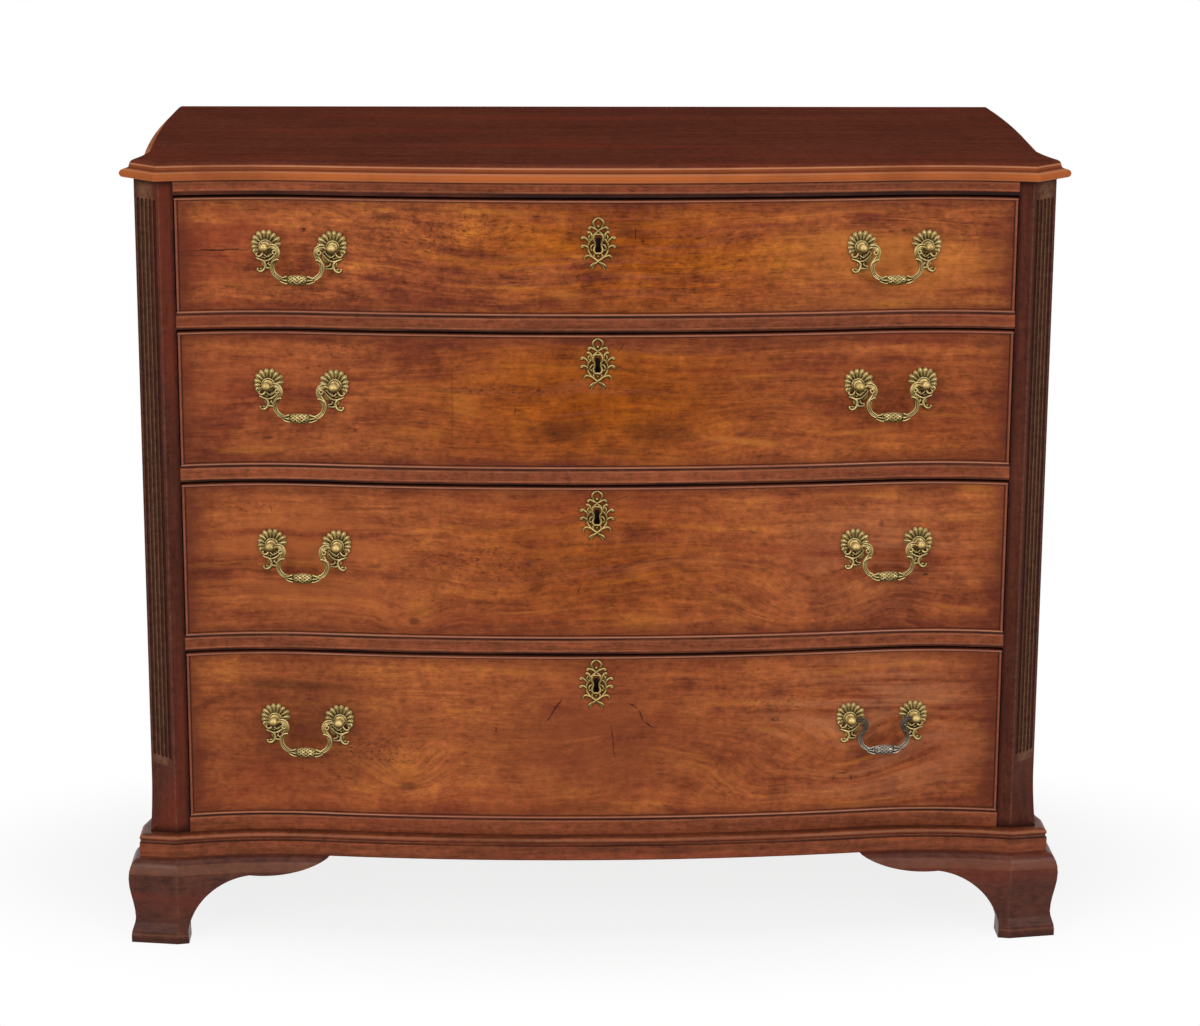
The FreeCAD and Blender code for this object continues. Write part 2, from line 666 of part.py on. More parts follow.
def rails():
    spans = {
        "top_rail": (S.ceiling_1, S.top_level),
        "upper_rail": (S.ceiling_2, S.floor_1),
        "middle_rail": (S.ceiling_3, S.floor_2),
        "lower_rail": (S.ceiling_4, S.floor_3),
    }
    across = (-S.opening_half, S.opening_half)
    for label, (low, high) in spans.items():
        blank = common(board(across, full_front, (low, high)), face)
        node(cut(blank, mortise(low), name=label), label)
    node(common(board(across, full_front, (S.foot_height, S.floor_4)), face, "bottom_rail"), "bottom_rail")


def inside_boards():
    behind = (rail_back, panel_back)
    across = (-S.inner_half, S.inner_half)
    bottom = board(across, behind, (S.floor_4 - S.bottom_board, S.floor_4))
    node(common(bottom, side_inner, "carcase_bottom"), "carcase_bottom")
    edge = S.inner_half - S.runner_width
    gap = (S.rail - S.dustboard) / 2
    dust = []
    fittings = []
    for n in (1, 2, 3):
        level = levels[n][0]
        dust.append(board((-edge, edge), behind, (level - S.rail + gap, level - gap)))
        fittings.append(board((edge, S.inner_half), behind, (level - S.rail, level)))
    node(group(*dust, name="dustboards"), "dustboards")
    fittings.append(board((edge, S.inner_half), behind, (S.ceiling_1, S.top_level)))
    guide_x = (S.opening_half, S.inner_half)
    stop_x = (S.stop_at - S.stop_length / 2, S.stop_at + S.stop_length / 2)
    stop_face = template(-S.front_thickness - S.stop_gap, "stop_template")
    stop_back = S.front + S.front_thickness + S.stop_width
    for low, _ in levels.values():
        fittings.append(board(guide_x, (S.front + S.post_depth, panel_back), (low, low + S.guide_height)))
        stop = board(stop_x, (S.front - OVERSHOOT, stop_back), (low, low + S.stop_height))
        fittings.append(common(stop, stop_face))
    right = common(group(*fittings), side_inner)
    node(group(right, mirror(right), name="runners_and_guides"), "runners_and_guides")


def back_boards():
    span = (S.side_end - S.back_rebate) * 2
    width = span / BACK_BOARDS
    boards = []
    for index in range(BACK_BOARDS):
        start = -span / 2 + width * index
        boards.append(board((start, start + width - S.board_gap), (panel_back, S.back),
                            (S.foot_height, S.top_level)))
    node(group(*boards, name="back_boards"), "back_boards")


# Base moulding and feet
def corner_wedges():
    """The part of the plan that belongs to the corner facets of the base, between their mitres."""
    outer = (-S.half_width, S.front + S.facet_depth)
    arris = (-S.arris + S.facet_joint, S.front)
    out_1 = (1, S.corner_mitre)
    out_2 = (S.facet_drift, S.facet_mitre)

    def along(point, way, distance):
        return (point[0] - distance * as_size(way[0]), point[1] - distance * as_size(way[1]))

    start = along(outer, out_1, -MITRE_INSIDE)
    wedge = outline(start, [
        (along(outer, out_1, MITRE_OUTSIDE),), (along(arris, out_2, MITRE_OUTSIDE),),
        (along(arris, out_2, -MITRE_INSIDE),), (start,),
    ], origin=(0, 0, -OVERSHOOT), name="corner_wedge")
    left = extrude(wedge, (0, 0, 1), S.total_height)
    return left, mirror(left)


def base_moulding(wedges, posts):
    round_start = S.fascia_height + S.quirk_height
    round_height = S.base_height - round_start
    waist = S.base_reach - S.quirk_depth
    profile = [
        (S.base_reach, 0), (S.base_reach, S.fascia_height), (waist, S.fascia_height + S.quirk_height / 3),
    ]
    for angle in (-50, -20, 10, 40, 65, 90):
        a = math.radians(angle)
        rise = (1 + math.sin(a)) / 2
        profile.append((S.base_reach - S.base_round * (1 - math.cos(a)), round_start + round_height * rise))
    ring = cut(moulding(profile, S.foot_height, squared=True), face, *posts)
    left, right = wedges
    pieces = [common(ring, left), common(ring, right), cut(ring, left, right)]
    node(group(*pieces, name="base_moulding"), "base_moulding")


def foot_profile():
    profile = [(S.foot_toe, 0), (S.foot_toe, S.toe_height)]
    for step in (0.25, 0.5, 0.75, 1):
        wave = (1 + math.cos(math.pi * step)) / 2
        height = S.toe_height + (S.ankle_height - S.toe_height) * step
        profile.append((S.foot_ankle + (S.foot_toe - S.foot_ankle) * wave, height))
    for step in (0.2, 0.4, 0.6, 0.8, 1):
        wave = (1 - math.cos(math.pi * step)) / 2
        height = S.ankle_height + (S.swell_height - S.ankle_height) * step
        profile.append((S.foot_ankle + (S.foot_reach - S.foot_ankle) * wave, height))
    for step in (0.35, 0.6, 0.8, 0.93, 1):
        fall = math.sqrt(1 - step * step)
        height = S.swell_height + (S.foot_height - S.swell_height) * step
        profile.append((S.foot_neck + (S.foot_reach - S.foot_neck) * fall, height))
    return profile


def arch(toe_a, end_a, toe_b, end_b, turn, origin, name):
    """The opening under two brackets: toe, hollow, cusp and scroll, then the same the other way."""
    def half(toe, end, way):
        cusp = (toe + S.arch_run * way, S.arch_rise)
        hollow = (toe + S.arch_run * (ARCH_HOLLOW[0] * way), S.arch_rise * ARCH_HOLLOW[1])
        scroll = (end - S.arch_run * (ARCH_SCROLL * way), S.foot_height - S.scroll_drop)
        return [
            ((toe - S.toe_rake * way, S.ankle_height * ARCH_TOE),), (hollow, cusp),
            (scroll, (end, S.foot_height)), ((end, S.foot_height + OVERSHOOT),),
        ]

    first = half(toe_a, end_a, 1)
    second = half(toe_b, end_b, -1)
    back_down = [(second[2][-1],), (second[2][0], second[1][-1]), (second[1][0], second[0][-1])]
    bottom = [((toe_b, -OVERSHOOT),), ((toe_a, -OVERSHOOT),)]
    steps = first + [(second[3][-1],)] + back_down + bottom
    return outline((toe_a, -OVERSHOOT), steps, turn, origin, name=name)


def feet(wedges):
    bracket = template(-S.foot_inset, "bracket_template")
    ring = cut(moulding(foot_profile(), as_size(0), squared=True), bracket)
    toe = S.arris - S.toe_run
    end = S.arris - S.bracket_run
    front_arch = extrude(
        arch(-toe, -end, toe, end, FACING_FRONT, (0, S.front - S.carcase_depth, 0), "front_arch"),
        (0, 1, 0), S.carcase_depth * 3,
    )
    side_front = S.front + S.corner_cant
    side_arch = extrude(
        arch(side_front + S.toe_run, side_front + S.bracket_run, S.back - S.back_toe_run,
             S.back - S.bracket_run, FACING_SIDE, (-S.carcase_width, 0, 0), "side_arch"),
        (1, 0, 0), S.carcase_width * 2,
    )
    middle = (S.front + S.back) / 2
    left_half = (-S.carcase_width, 0)
    height = (-OVERSHOOT, S.foot_height + OVERSHOOT)
    open_ring = cut(ring, front_arch, side_arch)
    front_quarter = common(open_ring, board(left_half, (S.front - S.carcase_depth, middle), height))
    back_quarter = common(open_ring, board(left_half, (middle, S.back + OVERSHOOT), height))
    wedge = wedges[0]
    front_left = group(common(front_quarter, wedge), cut(front_quarter, wedge), name="front_left_foot")
    rear_x = (-S.half_width, S.foot_inset + S.bracket_run - S.half_width)
    rear = board(rear_x, (S.back - S.back_bracket, S.back), (0, S.foot_height))
    back_left = group(back_quarter, cut(common(rear, bracket), front_arch), name="back_left_foot")
    node(front_left, "front_left_foot")
    node(mirror(front_left), "front_right_foot")
    node(back_left, "back_left_foot")
    node(mirror(back_left), "back_right_foot")

    block_x = (-S.half_width, S.block_size - S.half_width)
    block_z = (S.block_lift, S.foot_height)
    front_block = common(board(block_x, (S.front - OVERSHOOT, S.front + S.block_size), block_z), bracket)
    back_y = (S.back - S.back_toe_run, S.back - S.back_bracket)
    back_block = common(board(block_x, back_y, block_z), bracket)
    left = group(front_block, back_block)
    node(group(left, mirror(left), name="glue_blocks"), "glue_blocks")


# Brass and locks, made at height zero
def keyhole(y, depth):
    """A keyhole's prism, centred on height zero."""
    half = S.keyhole_slot / 2
    top = S.keyhole_height / 2
    centre = top - S.keyhole_radius
    shape = outline((-half, -top), [
        ((half, -top),), ((half, centre),), ((0, top), (-half, centre)), ((-half, -top),),
    ], FACING_FRONT, (0, y, 0), name="keyhole_outline")
    return extrude(shape, (0, 1, 0), depth, "keyhole")


def piercing(x, z, radius):
    """A round hole through a brass plate."""
    return rod((0, 1, 0), (x, S.front - OVERSHOOT, z), radius, 3 * OVERSHOOT)


def escutcheon(shell):
    unit = S.escutcheon_height / ESCUTCHEON_DRAWN

    def spot(u, v):
        return (unit * u, unit * v)

    right = [
        (spot(5.5, 27), spot(3.5, 20)), (spot(10, 21.5), spot(15, 14.5)),
        (spot(20.2, 11), spot(17.5, 5)), (spot(13.5, 1), spot(16.5, -4)),
        (spot(20.2, -10), spot(13.5, -14)), (spot(12.5, -20), spot(6, -22)), (spot(3.5, -26), spot(0, -27)),
    ]
    top = spot(0, 31)
    ends = [top] + [step[-1] for step in right]
    left = []
    for (middle, _), target in zip(reversed(right), reversed(ends[:-1])):
        left.append(((-middle[0], middle[1]), (-target[0], target[1])))
    shape = outline(top, right + left, FACING_FRONT, (0, S.front - OVERSHOOT, 0), name="escutcheon_outline")
    plate = common(extrude(shape, (0, 1, 0), 3 * OVERSHOOT), shell)
    holes = [(9.5, 9.5, 3), (-9.5, 9.5, 3), (9.5, -9.5, 3), (-9.5, -9.5, 3), (0, 22.5, 2)]
    piercings = [piercing(unit * u, unit * v, unit * radius) for u, v, radius in holes]
    return cut(plate, keyhole(S.front - OVERSHOOT, 3 * OVERSHOOT), *piercings)


def rosette(x, lean):
    """A fan of petals over a scroll of foliage, which leans away from the middle of the handle."""
    origin = (x, S.front - OVERSHOOT, 0)
    valley = S.rosette_radius * PETAL_VALLEY
    petals = []
    for index in range(FAN_PETALS):
        tip = 2 * math.pi * (index + 0.5) / FAN_PETALS
        root = 2 * math.pi * (index + 1) / FAN_PETALS
        petals.append((
            (S.rosette_radius * math.cos(tip), S.rosette_radius * math.sin(tip)),
            (valley * math.cos(root), valley * math.sin(root)),
        ))
    fan = outline((valley, 0), petals, FACING_FRONT, origin, name="fan_outline")
    unit = S.foliage_drop / FOLIAGE_DRAWN

    def spot(u, v):
        return (unit * (u * lean), unit * v)

    scroll = outline(spot(-9, -9), [
        (spot(-5, -18), spot(-8, -25)), (spot(-3, -31.5), spot(4, -30.5)),
        (spot(13.5, -28.5), spot(15.5, -20)), (spot(13, -14.5), spot(11, -9)), (spot(-9, -9),),
    ], FACING_FRONT, origin, name="scroll_outline")
    length = 3 * OVERSHOOT
    plate = fuse(extrude(fan, (0, 1, 0), length), extrude(scroll, (0, 1, 0), length))
    return cut(plate, piercing(x + unit * (4.5 * lean), unit * -23.5, unit * 3.2))


def in_handle_frame(hand, *shapes, name="handle_frame"):
    """Turns pieces made along the X axis to the line through a handle's posts (hand 1 is right)."""
    frame = group(*shapes, name=name)
    frame.Placement.Rotation = Rotation(Vector(0, 0, hand), math.degrees(math.atan(S.handle_slope.value)))
    frame.setExpression("Placement.Rotation.Angle", "atan(Sizes.handle_slope)")
    return place(frame, S.handle_at * hand, S.handle_face, 0)


def handle_mounts(hand, plate_face, shell):
    """Rosettes, posts and nuts of one handle, and the holes that the posts need."""
    plates, posts, nuts, holes = [], [], [], []
    inner_end = S.front_thickness + S.nut_gap
    for side in (-1, 1):
        x = S.handle_at * hand + S.handle_boring * (side / 2)
        along = S.half_chord * side
        centre = (along, -S.pivot_out, 0)
        neck = rod((0, 1, 0), centre, S.neck_radius, S.pivot_out)
        collar = rod((0, 1, 0), (along, -S.collar_height, 0), S.collar_radius, S.collar_height)
        head = cut(in_handle_frame(hand, fuse(ball(centre, S.ball_radius), neck, collar)), plate_face)
        shank_start = (along, -S.collar_height, 0)
        shank_length = S.collar_height + inner_end + S.shank_tail
        shank = in_handle_frame(hand, rod((0, 1, 0), shank_start, S.shank_radius, shank_length))
        hole_radius = S.shank_radius + S.shank_gap
        hole = in_handle_frame(hand, rod((0, 1, 0), shank_start, hole_radius, shank_length))
        socket_start = (along - side * (S.ball_radius + S.bail_gap), -S.pivot_out, 0)
        socket_length = S.bail_gap + S.ball_radius + S.pin_gap
        socket = rod((side, 0, 0), socket_start, S.pin_radius + S.pin_gap, socket_length)
        posts.append(cut(fuse(head, shank), in_handle_frame(hand, socket)))
        nut = in_handle_frame(hand, rod((0, 1, 0), (along, inner_end, 0), S.nut_radius, S.nut_height))
        nuts.append(cut(nut, shank))
        holes.append(hole)
        plates.append(cut(common(rosette(x, side), shell), hole))
    return group(*plates, *posts, *nuts), group(*holes)


def bail():
    """A swan-neck rod with a swollen grip and a pin at each end, in the handle's own frame."""
    start = S.half_chord - S.ball_radius - S.bail_gap
    bend = start - S.shoulder_run
    first = S.shoulder_radius
    second = S.swan_radius
    level = -first
    inner_x = bend - first
    centre_2 = inner_x + second
    along, down = math.cos(SWAN_TURN), math.sin(SWAN_TURN)
    third_start = (centre_2 - second * along, level - second * down)
    third = (S.bail_drop + third_start[1]) / (1 + down)
    centre_3 = (third_start[0] - third * along, third_start[1] - third * down)
    half_turn = SWAN_TURN / 2
    outward = (centre_2 - second * math.cos(half_turn), level - second * math.sin(half_turn))
    inward = (centre_3[0] + third * math.cos(SWAN_EASE), centre_3[1] - third * math.sin(SWAN_EASE))
    arm = [
        (start, as_size(0)), (bend, as_size(0)),
        ((bend - first * EIGHTH_TURN, level + first * EIGHTH_TURN), (inner_x, level)),
        (outward, third_start), (inward, (centre_3[0], -S.bail_drop)),
    ]

    def flip(point):
        return (-point[0], point[1])

    steps = [(arm[1],), arm[2], arm[3], arm[4], (flip(arm[4][1]),)]
    steps += [(flip(arm[4][0]), flip(arm[3][1])), (flip(arm[3][0]), flip(arm[2][1]))]
    steps += [(flip(arm[2][0]), flip(arm[1])), (flip(arm[0]),)]
    path = outline(arm[0], steps, FACING_FRONT, (0, -S.pivot_out, 0), closed=False, name="bail_path")
    ring = doc.addObject("Part::Circle", "bail_section")
    ring.Placement = Placement(Vector(), Rotation(Vector(0, 1, 0), 90))
    bind(ring, "Radius", S.bail_radius)
    place(ring, start, -S.pivot_out, 0)
    arms = doc.addObject("Part::Sweep", "bail_arms")
    arms.Sections = [ring]
    arms.Spine = (path, [f"Edge{index + 1}" for index in range(len(steps))])
    arms.Solid = True
    grip_face = outline((-S.grip_half, 0), [
        ((-S.grip_half, S.grip_collar),), ((S.grip_band - S.grip_half, S.grip_collar),),
        ((S.grip_band - S.grip_half, S.grip_end),),
        ((0, S.grip_radius), (S.grip_half - S.grip_band, S.grip_end)),
        ((S.grip_half - S.grip_band, S.grip_collar),), ((S.grip_half, S.grip_collar),),
        ((S.grip_half, 0),), ((-S.grip_half, 0),),
    ], FACING_FRONT, (0, -S.pivot_out, -S.bail_drop), name="grip_outline")
    grip = doc.addObject("Part::Revolution", "grip")
    grip.Source = grip_face
    grip.Axis = Vector(1, 0, 0)
    grip.Solid = True
    bind(grip, "Base.y", -S.pivot_out)
    bind(grip, "Base.z", -S.bail_drop)
    pins = []
    pin_length = S.bail_gap + S.pin_depth + S.shoulder_run
    for side in (-1, 1):
        pin_start = (bend * side, -S.pivot_out, 0)
        pins.append(rod((side, 0, 0), pin_start, S.pin_radius, pin_length))
    return fuse(arms, grip, *pins)


# Drawers
def cockbead(low, high, band):
    """Four beads round a drawer front: two that follow the curve and two upright ones between them."""
    nose = S.bead_width / 2
    nose_y = S.edge_face - S.bead_proud + nose
    middle_x = S.drawer_half - nose
    z = (low + S.bead_width, high - S.bead_width)
    strip = board((S.drawer_half - S.bead_width, S.drawer_half), (nose_y, S.edge_face + S.bead_depth), z)
    right = fuse(strip, rod((0, 0, 1), (middle_x, nose_y, z[0]), nose, z[1] - z[0]))
    return [at_height(high - S.bead_width, band), at_height(low, band), right, mirror(right)]


def dovetails(count, low, high, lap):
    """The tails on the front end of a drawer's right side."""
    pitch = (high - low) / count
    tails = []
    for index in range(count):
        middle = low + pitch * (index + 0.5)
        tail = doc.addObject("Part::Wedge", "dovetail")
        tip, root = S.dovetail_width / 2, S.dovetail_width / 2 - S.dovetail_taper
        for prop, value in (
            ("Xmin", S.drawer_half - S.drawer_side), ("Xmax", S.drawer_half),
            ("X2min", S.drawer_half - S.drawer_side), ("X2max", S.drawer_half),
            ("Ymin", S.edge_face + S.dovetail_lap - TAIL_SPARE),
            ("Ymax", S.edge_face + S.front_thickness + TAIL_SPARE),
            ("Zmin", middle - tip), ("Zmax", middle + tip),
            ("Z2min", middle - root), ("Z2max", middle + root),
        ):
            bind(tail, prop, value)
        tails.append(tail)
    return common(group(*tails), lap)


def drawer(n, brass, lap, bead_band):
    floor, ceiling = levels[n]
    low = floor + S.drawer_lift
    high = ceiling - S.drawer_gap
    keyhole_level = high - getattr(S, f"keyhole_drop_{n}")
    handle_level = high - getattr(S, f"handle_drop_{n}")
    end = S.back - S.drawer_room
    prefix = f"drawer_{n}"

    beads = cockbead(low, high, bead_band)
    node(group(*beads, name="cockbead"), f"{prefix}_cockbead")

    side_low, side_high = low, high - S.side_drop
    side_x = (S.drawer_half - S.drawer_side, S.drawer_half)
    tails = dovetails(DOVETAILS[n], side_low, side_high, lap)
    plank = common(board(side_x, (S.front, end), (side_low, side_high)), inner)
    floor_low = low + S.bottom_raise
    floor_high = floor_low + S.drawer_bottom
    floor_x = S.drawer_half - S.drawer_side + S.groove
    sheet_board = board((-floor_x, floor_x), (S.front - OVERSHOOT, end), (floor_low, floor_high))
    floor_board = common(sheet_board, brass["groove"])
    right = cut(fuse(plank, tails), floor_board)
    back_x = (S.drawer_side - S.drawer_half, S.drawer_half - S.drawer_side)
    back = board(back_x, (end - S.drawer_back, end), (floor_high, high - S.back_drop))
    node(group(right, mirror(right), back, name="drawer_box"), f"{prefix}_box")
    node(floor_board, f"{prefix}_bottom")

    lock_z = (keyhole_level - S.lock_below, high)
    lock_y = (S.inner_face - S.lock_depth, S.inner_face + S.lock_cover)
    case = board((-S.lock_width / 2, S.lock_width / 2), lock_y, lock_z)
    bolt_y = S.inner_face - S.bolt_back - S.bolt_thickness
    bolt_top = high - S.bolt_gap
    slot_half = S.bolt_width / 2 + S.bolt_gap
    slot = board((-slot_half, slot_half), (bolt_y - S.bolt_gap, bolt_y + S.bolt_thickness + S.bolt_gap),
                 (bolt_top - S.bolt_length - S.bolt_gap, high + OVERSHOOT))
    key_way = at_height(keyhole_level, brass["keyhole"])
    node(cut(case, slot, key_way, name="lock"), f"{prefix}_lock")
    node(board((-S.bolt_width / 2, S.bolt_width / 2), (bolt_y, bolt_y + S.bolt_thickness),
               (bolt_top - S.bolt_length, bolt_top), "lock_bolt"), f"{prefix}_lock_bolt")

    thick = (S.front - OVERSHOOT, S.front + OVERSHOOT * 2)
    blank = common(board((-S.drawer_half, S.drawer_half), thick, (low, high)), face)
    shanks = at_height(handle_level, *brass["holes"])
    joints = (*beads, tails, mirror(tails), floor_board)
    node(cut(blank, inner, *joints, case, key_way, shanks, name="drawer_front"), f"{prefix}_front")
    node(at_height(keyhole_level, brass["escutcheon"], name="escutcheon"), f"{prefix}_escutcheon")
    node(at_height(handle_level, *brass["mounts"], name="handle_mounts"), f"{prefix}_handle_mounts")
    for hand, bail_side in (("left", brass["left_bail"]), ("right", brass["right_bail"])):
        node(at_height(handle_level, bail_side, name=f"{hand}_bail"), f"{prefix}_{hand}_bail")


def drawers():
    plate_face = template(S.plate_thickness, "plate_template")
    shell = cut(plate_face, face)
    mounts, holes = zip(*(handle_mounts(hand, plate_face, shell) for hand in (-1, 1)))
    swan_neck = bail()
    brass = {
        "mounts": mounts,
        "holes": holes,
        "left_bail": in_handle_frame(-1, swan_neck),
        "right_bail": in_handle_frame(1, swan_neck),
        "escutcheon": escutcheon(shell),
        "keyhole": keyhole(S.front - OVERSHOOT, OVERSHOOT - S.bulge + S.front_thickness - S.bolt_back),
        "groove": template(-S.front_thickness + S.groove, "groove_template"),
    }
    lap = template(-S.dovetail_lap, "lap_template")
    nose = S.bead_width / 2
    profile = []
    for angle in (-90, -45, 0, 45, 90):
        a = math.radians(angle)
        profile.append((S.bead_proud - nose + nose * math.cos(a), nose + nose * math.sin(a)))
    stack = cut(moulding(profile, as_size(0)), template(-S.bead_depth, "rebate_template"))
    length = (-S.drawer_half, S.drawer_half)
    around_front = (S.front - OVERSHOOT, S.front + OVERSHOOT)
    bead_band = common(stack, board(length, around_front, (-OVERSHOOT, OVERSHOOT)))
    for n in levels:
        drawer(n, brass, lap, bead_band)


def write_parts():
    doc.recompute()
    for obj in doc.Objects:
        if {"Invalid", "Error"} & set(obj.State):
            raise RuntimeError(f"{obj.Name} ({obj.Label}) did not build")
    os.makedirs("parts", exist_ok=True)
    for obj in PARTS:
        shape = obj.Shape
        if shape.isNull() or not shape.isValid() or not shape.Solids:
            raise RuntimeError(f"{obj.Label} has no valid solid")
        shape.exportStep(f"parts/{obj.Label}.step")
        print(f"{obj.Label}: {len(shape.Solids)} solids, {shape.Volume / 1000:.1f} cm3")


top_board()
side_panels()
corner_post_pair = corner_posts()
rails()
inside_boards()
back_boards()
corners = corner_wedges()
base_moulding(corners, corner_post_pair)
feet(corners)
drawers()
write_parts()
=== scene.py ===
import json
import math

import bpy
from mathutils import Matrix, Vector


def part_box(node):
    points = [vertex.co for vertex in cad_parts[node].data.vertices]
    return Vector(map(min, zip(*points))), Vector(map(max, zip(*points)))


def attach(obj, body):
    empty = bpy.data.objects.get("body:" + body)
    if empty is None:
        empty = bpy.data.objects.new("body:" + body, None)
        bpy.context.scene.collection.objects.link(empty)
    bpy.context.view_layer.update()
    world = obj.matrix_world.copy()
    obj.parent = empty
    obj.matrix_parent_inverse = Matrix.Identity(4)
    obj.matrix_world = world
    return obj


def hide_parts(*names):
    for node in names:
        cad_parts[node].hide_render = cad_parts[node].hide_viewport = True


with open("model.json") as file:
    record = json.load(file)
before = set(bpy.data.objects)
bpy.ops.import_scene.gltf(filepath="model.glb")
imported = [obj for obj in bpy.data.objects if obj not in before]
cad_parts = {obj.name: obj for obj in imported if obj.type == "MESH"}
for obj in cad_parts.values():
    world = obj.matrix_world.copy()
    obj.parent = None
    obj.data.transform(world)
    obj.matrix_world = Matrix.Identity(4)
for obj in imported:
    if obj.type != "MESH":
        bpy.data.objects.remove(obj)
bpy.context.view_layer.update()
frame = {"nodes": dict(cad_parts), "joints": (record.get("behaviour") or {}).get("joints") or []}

bl_info = {
    "name": "Serpentine chest of drawers",
    "version": (1, 0, 0),
    "blender": (4, 5, 0),
    "location": "3D View > Sidebar > Chest",
    "description": "Finishes the woods of a serpentine chest and models its cast brass fittings",
    "category": "Object",
}

MM = 0.001
DRAWERS = (1, 2, 3, 4)
HANDS = ("left", "right")
RAILS = ("top_rail", "upper_rail", "middle_rail", "lower_rail", "bottom_rail")
FEET = ("front_left", "front_right", "back_left", "back_right")
UP = Vector((0, 0, 1))
# Distances from the chest's middle, in millimetres
FRONT_END = 469
BEAD_END = 472.4
OPENING_END = 473
FOOT_ARRIS = 487.5
POST_ARRIS = 489
CANT_MIDDLE = 506
# Other measures of the wood, in millimetres
FLUTE_FOOT = 206
# Heights of the painted shade along the rails by the drawers' gaps, wider under the top rail
RAIL_GAP_SHADE = 2.3
TOP_RAIL_GAP = 4.4
EDGE_INSET = 3
# Change of tone at each joint between the five back boards
BOARD_TONES = (0.14, -0.20, 0.12, -0.10)
SENSOR = 36


def srgb(red, green, blue):
    """A colour given as it looks on a screen, 0 to 255, in Blender's linear values."""
    def line(part):
        part /= 255
        return part / 12.92 if part <= 0.04045 else ((part + 0.055) / 1.055) ** 2.4
    return (line(red), line(green), line(blue))


def colour_setting(name, description, *screen):
    """A colour of a finish, to change in the sidebar."""
    return bpy.props.FloatVectorProperty(
        name=name, description=description, subtype="COLOR", size=3, min=0, max=1, default=srgb(*screen))


def length_setting(name, description, millimetres):
    """A size of a fitting in millimetres, to change in the sidebar."""
    return bpy.props.FloatProperty(name=name, description=description, default=millimetres, min=0.1)


class WoodFinish(bpy.types.PropertyGroup):
    """Colours of the woods."""
    # Also laid as painted shade in the quirks and under the rounds of the mouldings, and as a darker band towards the
    # fronts' edges and ends
    deep: colour_setting("Deep", "Darkest streaks of the drawer fronts", 84, 36, 25)
    dark: colour_setting("Dark", "Dark figure of the drawer fronts", 118, 56, 32)
    middle: colour_setting("Middle", "Main colour of the drawer fronts", 148, 77, 41)
    pale: colour_setting("Pale", "Pale figure of the drawer fronts", 169, 93, 48)
    light: colour_setting("Light", "Palest streaks of the drawer fronts", 200, 122, 50)
    top: colour_setting("Top", "Main colour of the top board", 97, 49, 36)
    rail: colour_setting("Rail", "Main colour of the rails and mouldings", 126, 65, 39)
    post: colour_setting("Post", "Main colour of the corner posts and sides", 76, 38, 27)
    foot: colour_setting("Foot", "Main colour of the feet", 80, 43, 32)
    # Painted highlights along the mouldings, rails, cockbeads, post arrises and the feet's swell, with real wear on
    # the arrises; also a lighter tint on two fronts
    rubbed: colour_setting("Rubbed", "Rubbed edges of the mouldings", 204, 144, 108)
    # Painted light: the top's moulded edge made lighter than its flat, where it faces the lamps
    edge: colour_setting("Edge", "Moulded edge of the top", 188, 103, 54)
    amber: colour_setting("Amber", "Golden glaze over the drawer fronts", 236, 220, 100)
    red: colour_setting("Red", "Red patches of the drawer fronts", 132, 52, 34)
    cant: colour_setting("Cant", "Faded canted faces of the posts", 132, 94, 68)
    oak: colour_setting("Oak", "Drawer linings and runners", 160, 122, 78)
    pine: colour_setting("Pine", "Back, dustboards and bottom", 138, 100, 64)
    # Also laid as painted shade: in the gaps round the drawers, in the creases and quirks of the mouldings, in
    # recesses and in the keyholes' openings
    stain: colour_setting("Stain", "Cracks, knots and dirt in the wood", 40, 17, 13)


class BrassFinish(bpy.types.PropertyGroup):
    """Colours and sizes of the brass fittings."""
    # Colour of the brass's high places: a painted highlight where they face up in the open, with their wear
    worn: colour_setting("Worn", "Rubbed high places of the brass", 228, 208, 148)
    aged: colour_setting("Aged", "Main colour of the brass", 158, 128, 64)
    # A brighter copy of the brass for the pommels: painted light on them, with the polish of hands
    handled_and_lit: colour_setting("Handled", "Brass of the pommels", 188, 158, 92)
    shaded: colour_setting("Shaded", "Brass of the escutcheons", 142, 112, 48)
    # Painted shade on the brass's undersides and in its recesses, with patina in the hollows
    shade_and_grime: colour_setting("Dirt", "Recesses of the brass", 44, 30, 10)
    silver: colour_setting("Silver", "The bail that has lost its colour", 164, 154, 144)
    petals: bpy.props.IntProperty(name="Petals", description="Petals in a rosette's fan", default=10, min=6)
    fan: length_setting("Fan", "Reach of the petals from a post, in mm", 17.4)
    pommel: length_setting("Pommel", "Radius of a post's pommel, in mm", 5.5)
    boring: length_setting("Boring", "Distance between a handle's posts, in mm", 76.38)
    pivot: length_setting("Pivot", "Bail pivot before the drawer face, in mm", 15.0)
    grip: length_setting("Grip", "Radius of a bail's grip, in mm", 5.5)


class StageSettings(bpy.types.PropertyGroup):
    """Floor, light and camera."""
    floor: colour_setting("Floor", "The pale floor", 244, 244, 244)
    lamp: bpy.props.FloatProperty(name="Lamp", description="Power of each softbox", default=38.0, unit="POWER")
    fill: bpy.props.FloatProperty(name="Fill", description="Even light from all round", default=0.42, min=0)
    lens: bpy.props.FloatProperty(name="Lens", description="Focal length", default=94.9, unit="CAMERA")
    eye: bpy.props.FloatVectorProperty(
        name="Eye", description="Place of the camera", subtype="XYZ", unit="LENGTH",
        default=(-0.1116, -3.7621, 1.3845))
    turn: bpy.props.FloatVectorProperty(
        name="Turn", description="Yaw to the right, pitch down and roll", subtype="EULER",
        default=(math.radians(1.886), math.radians(13.952), math.radians(0.281)))


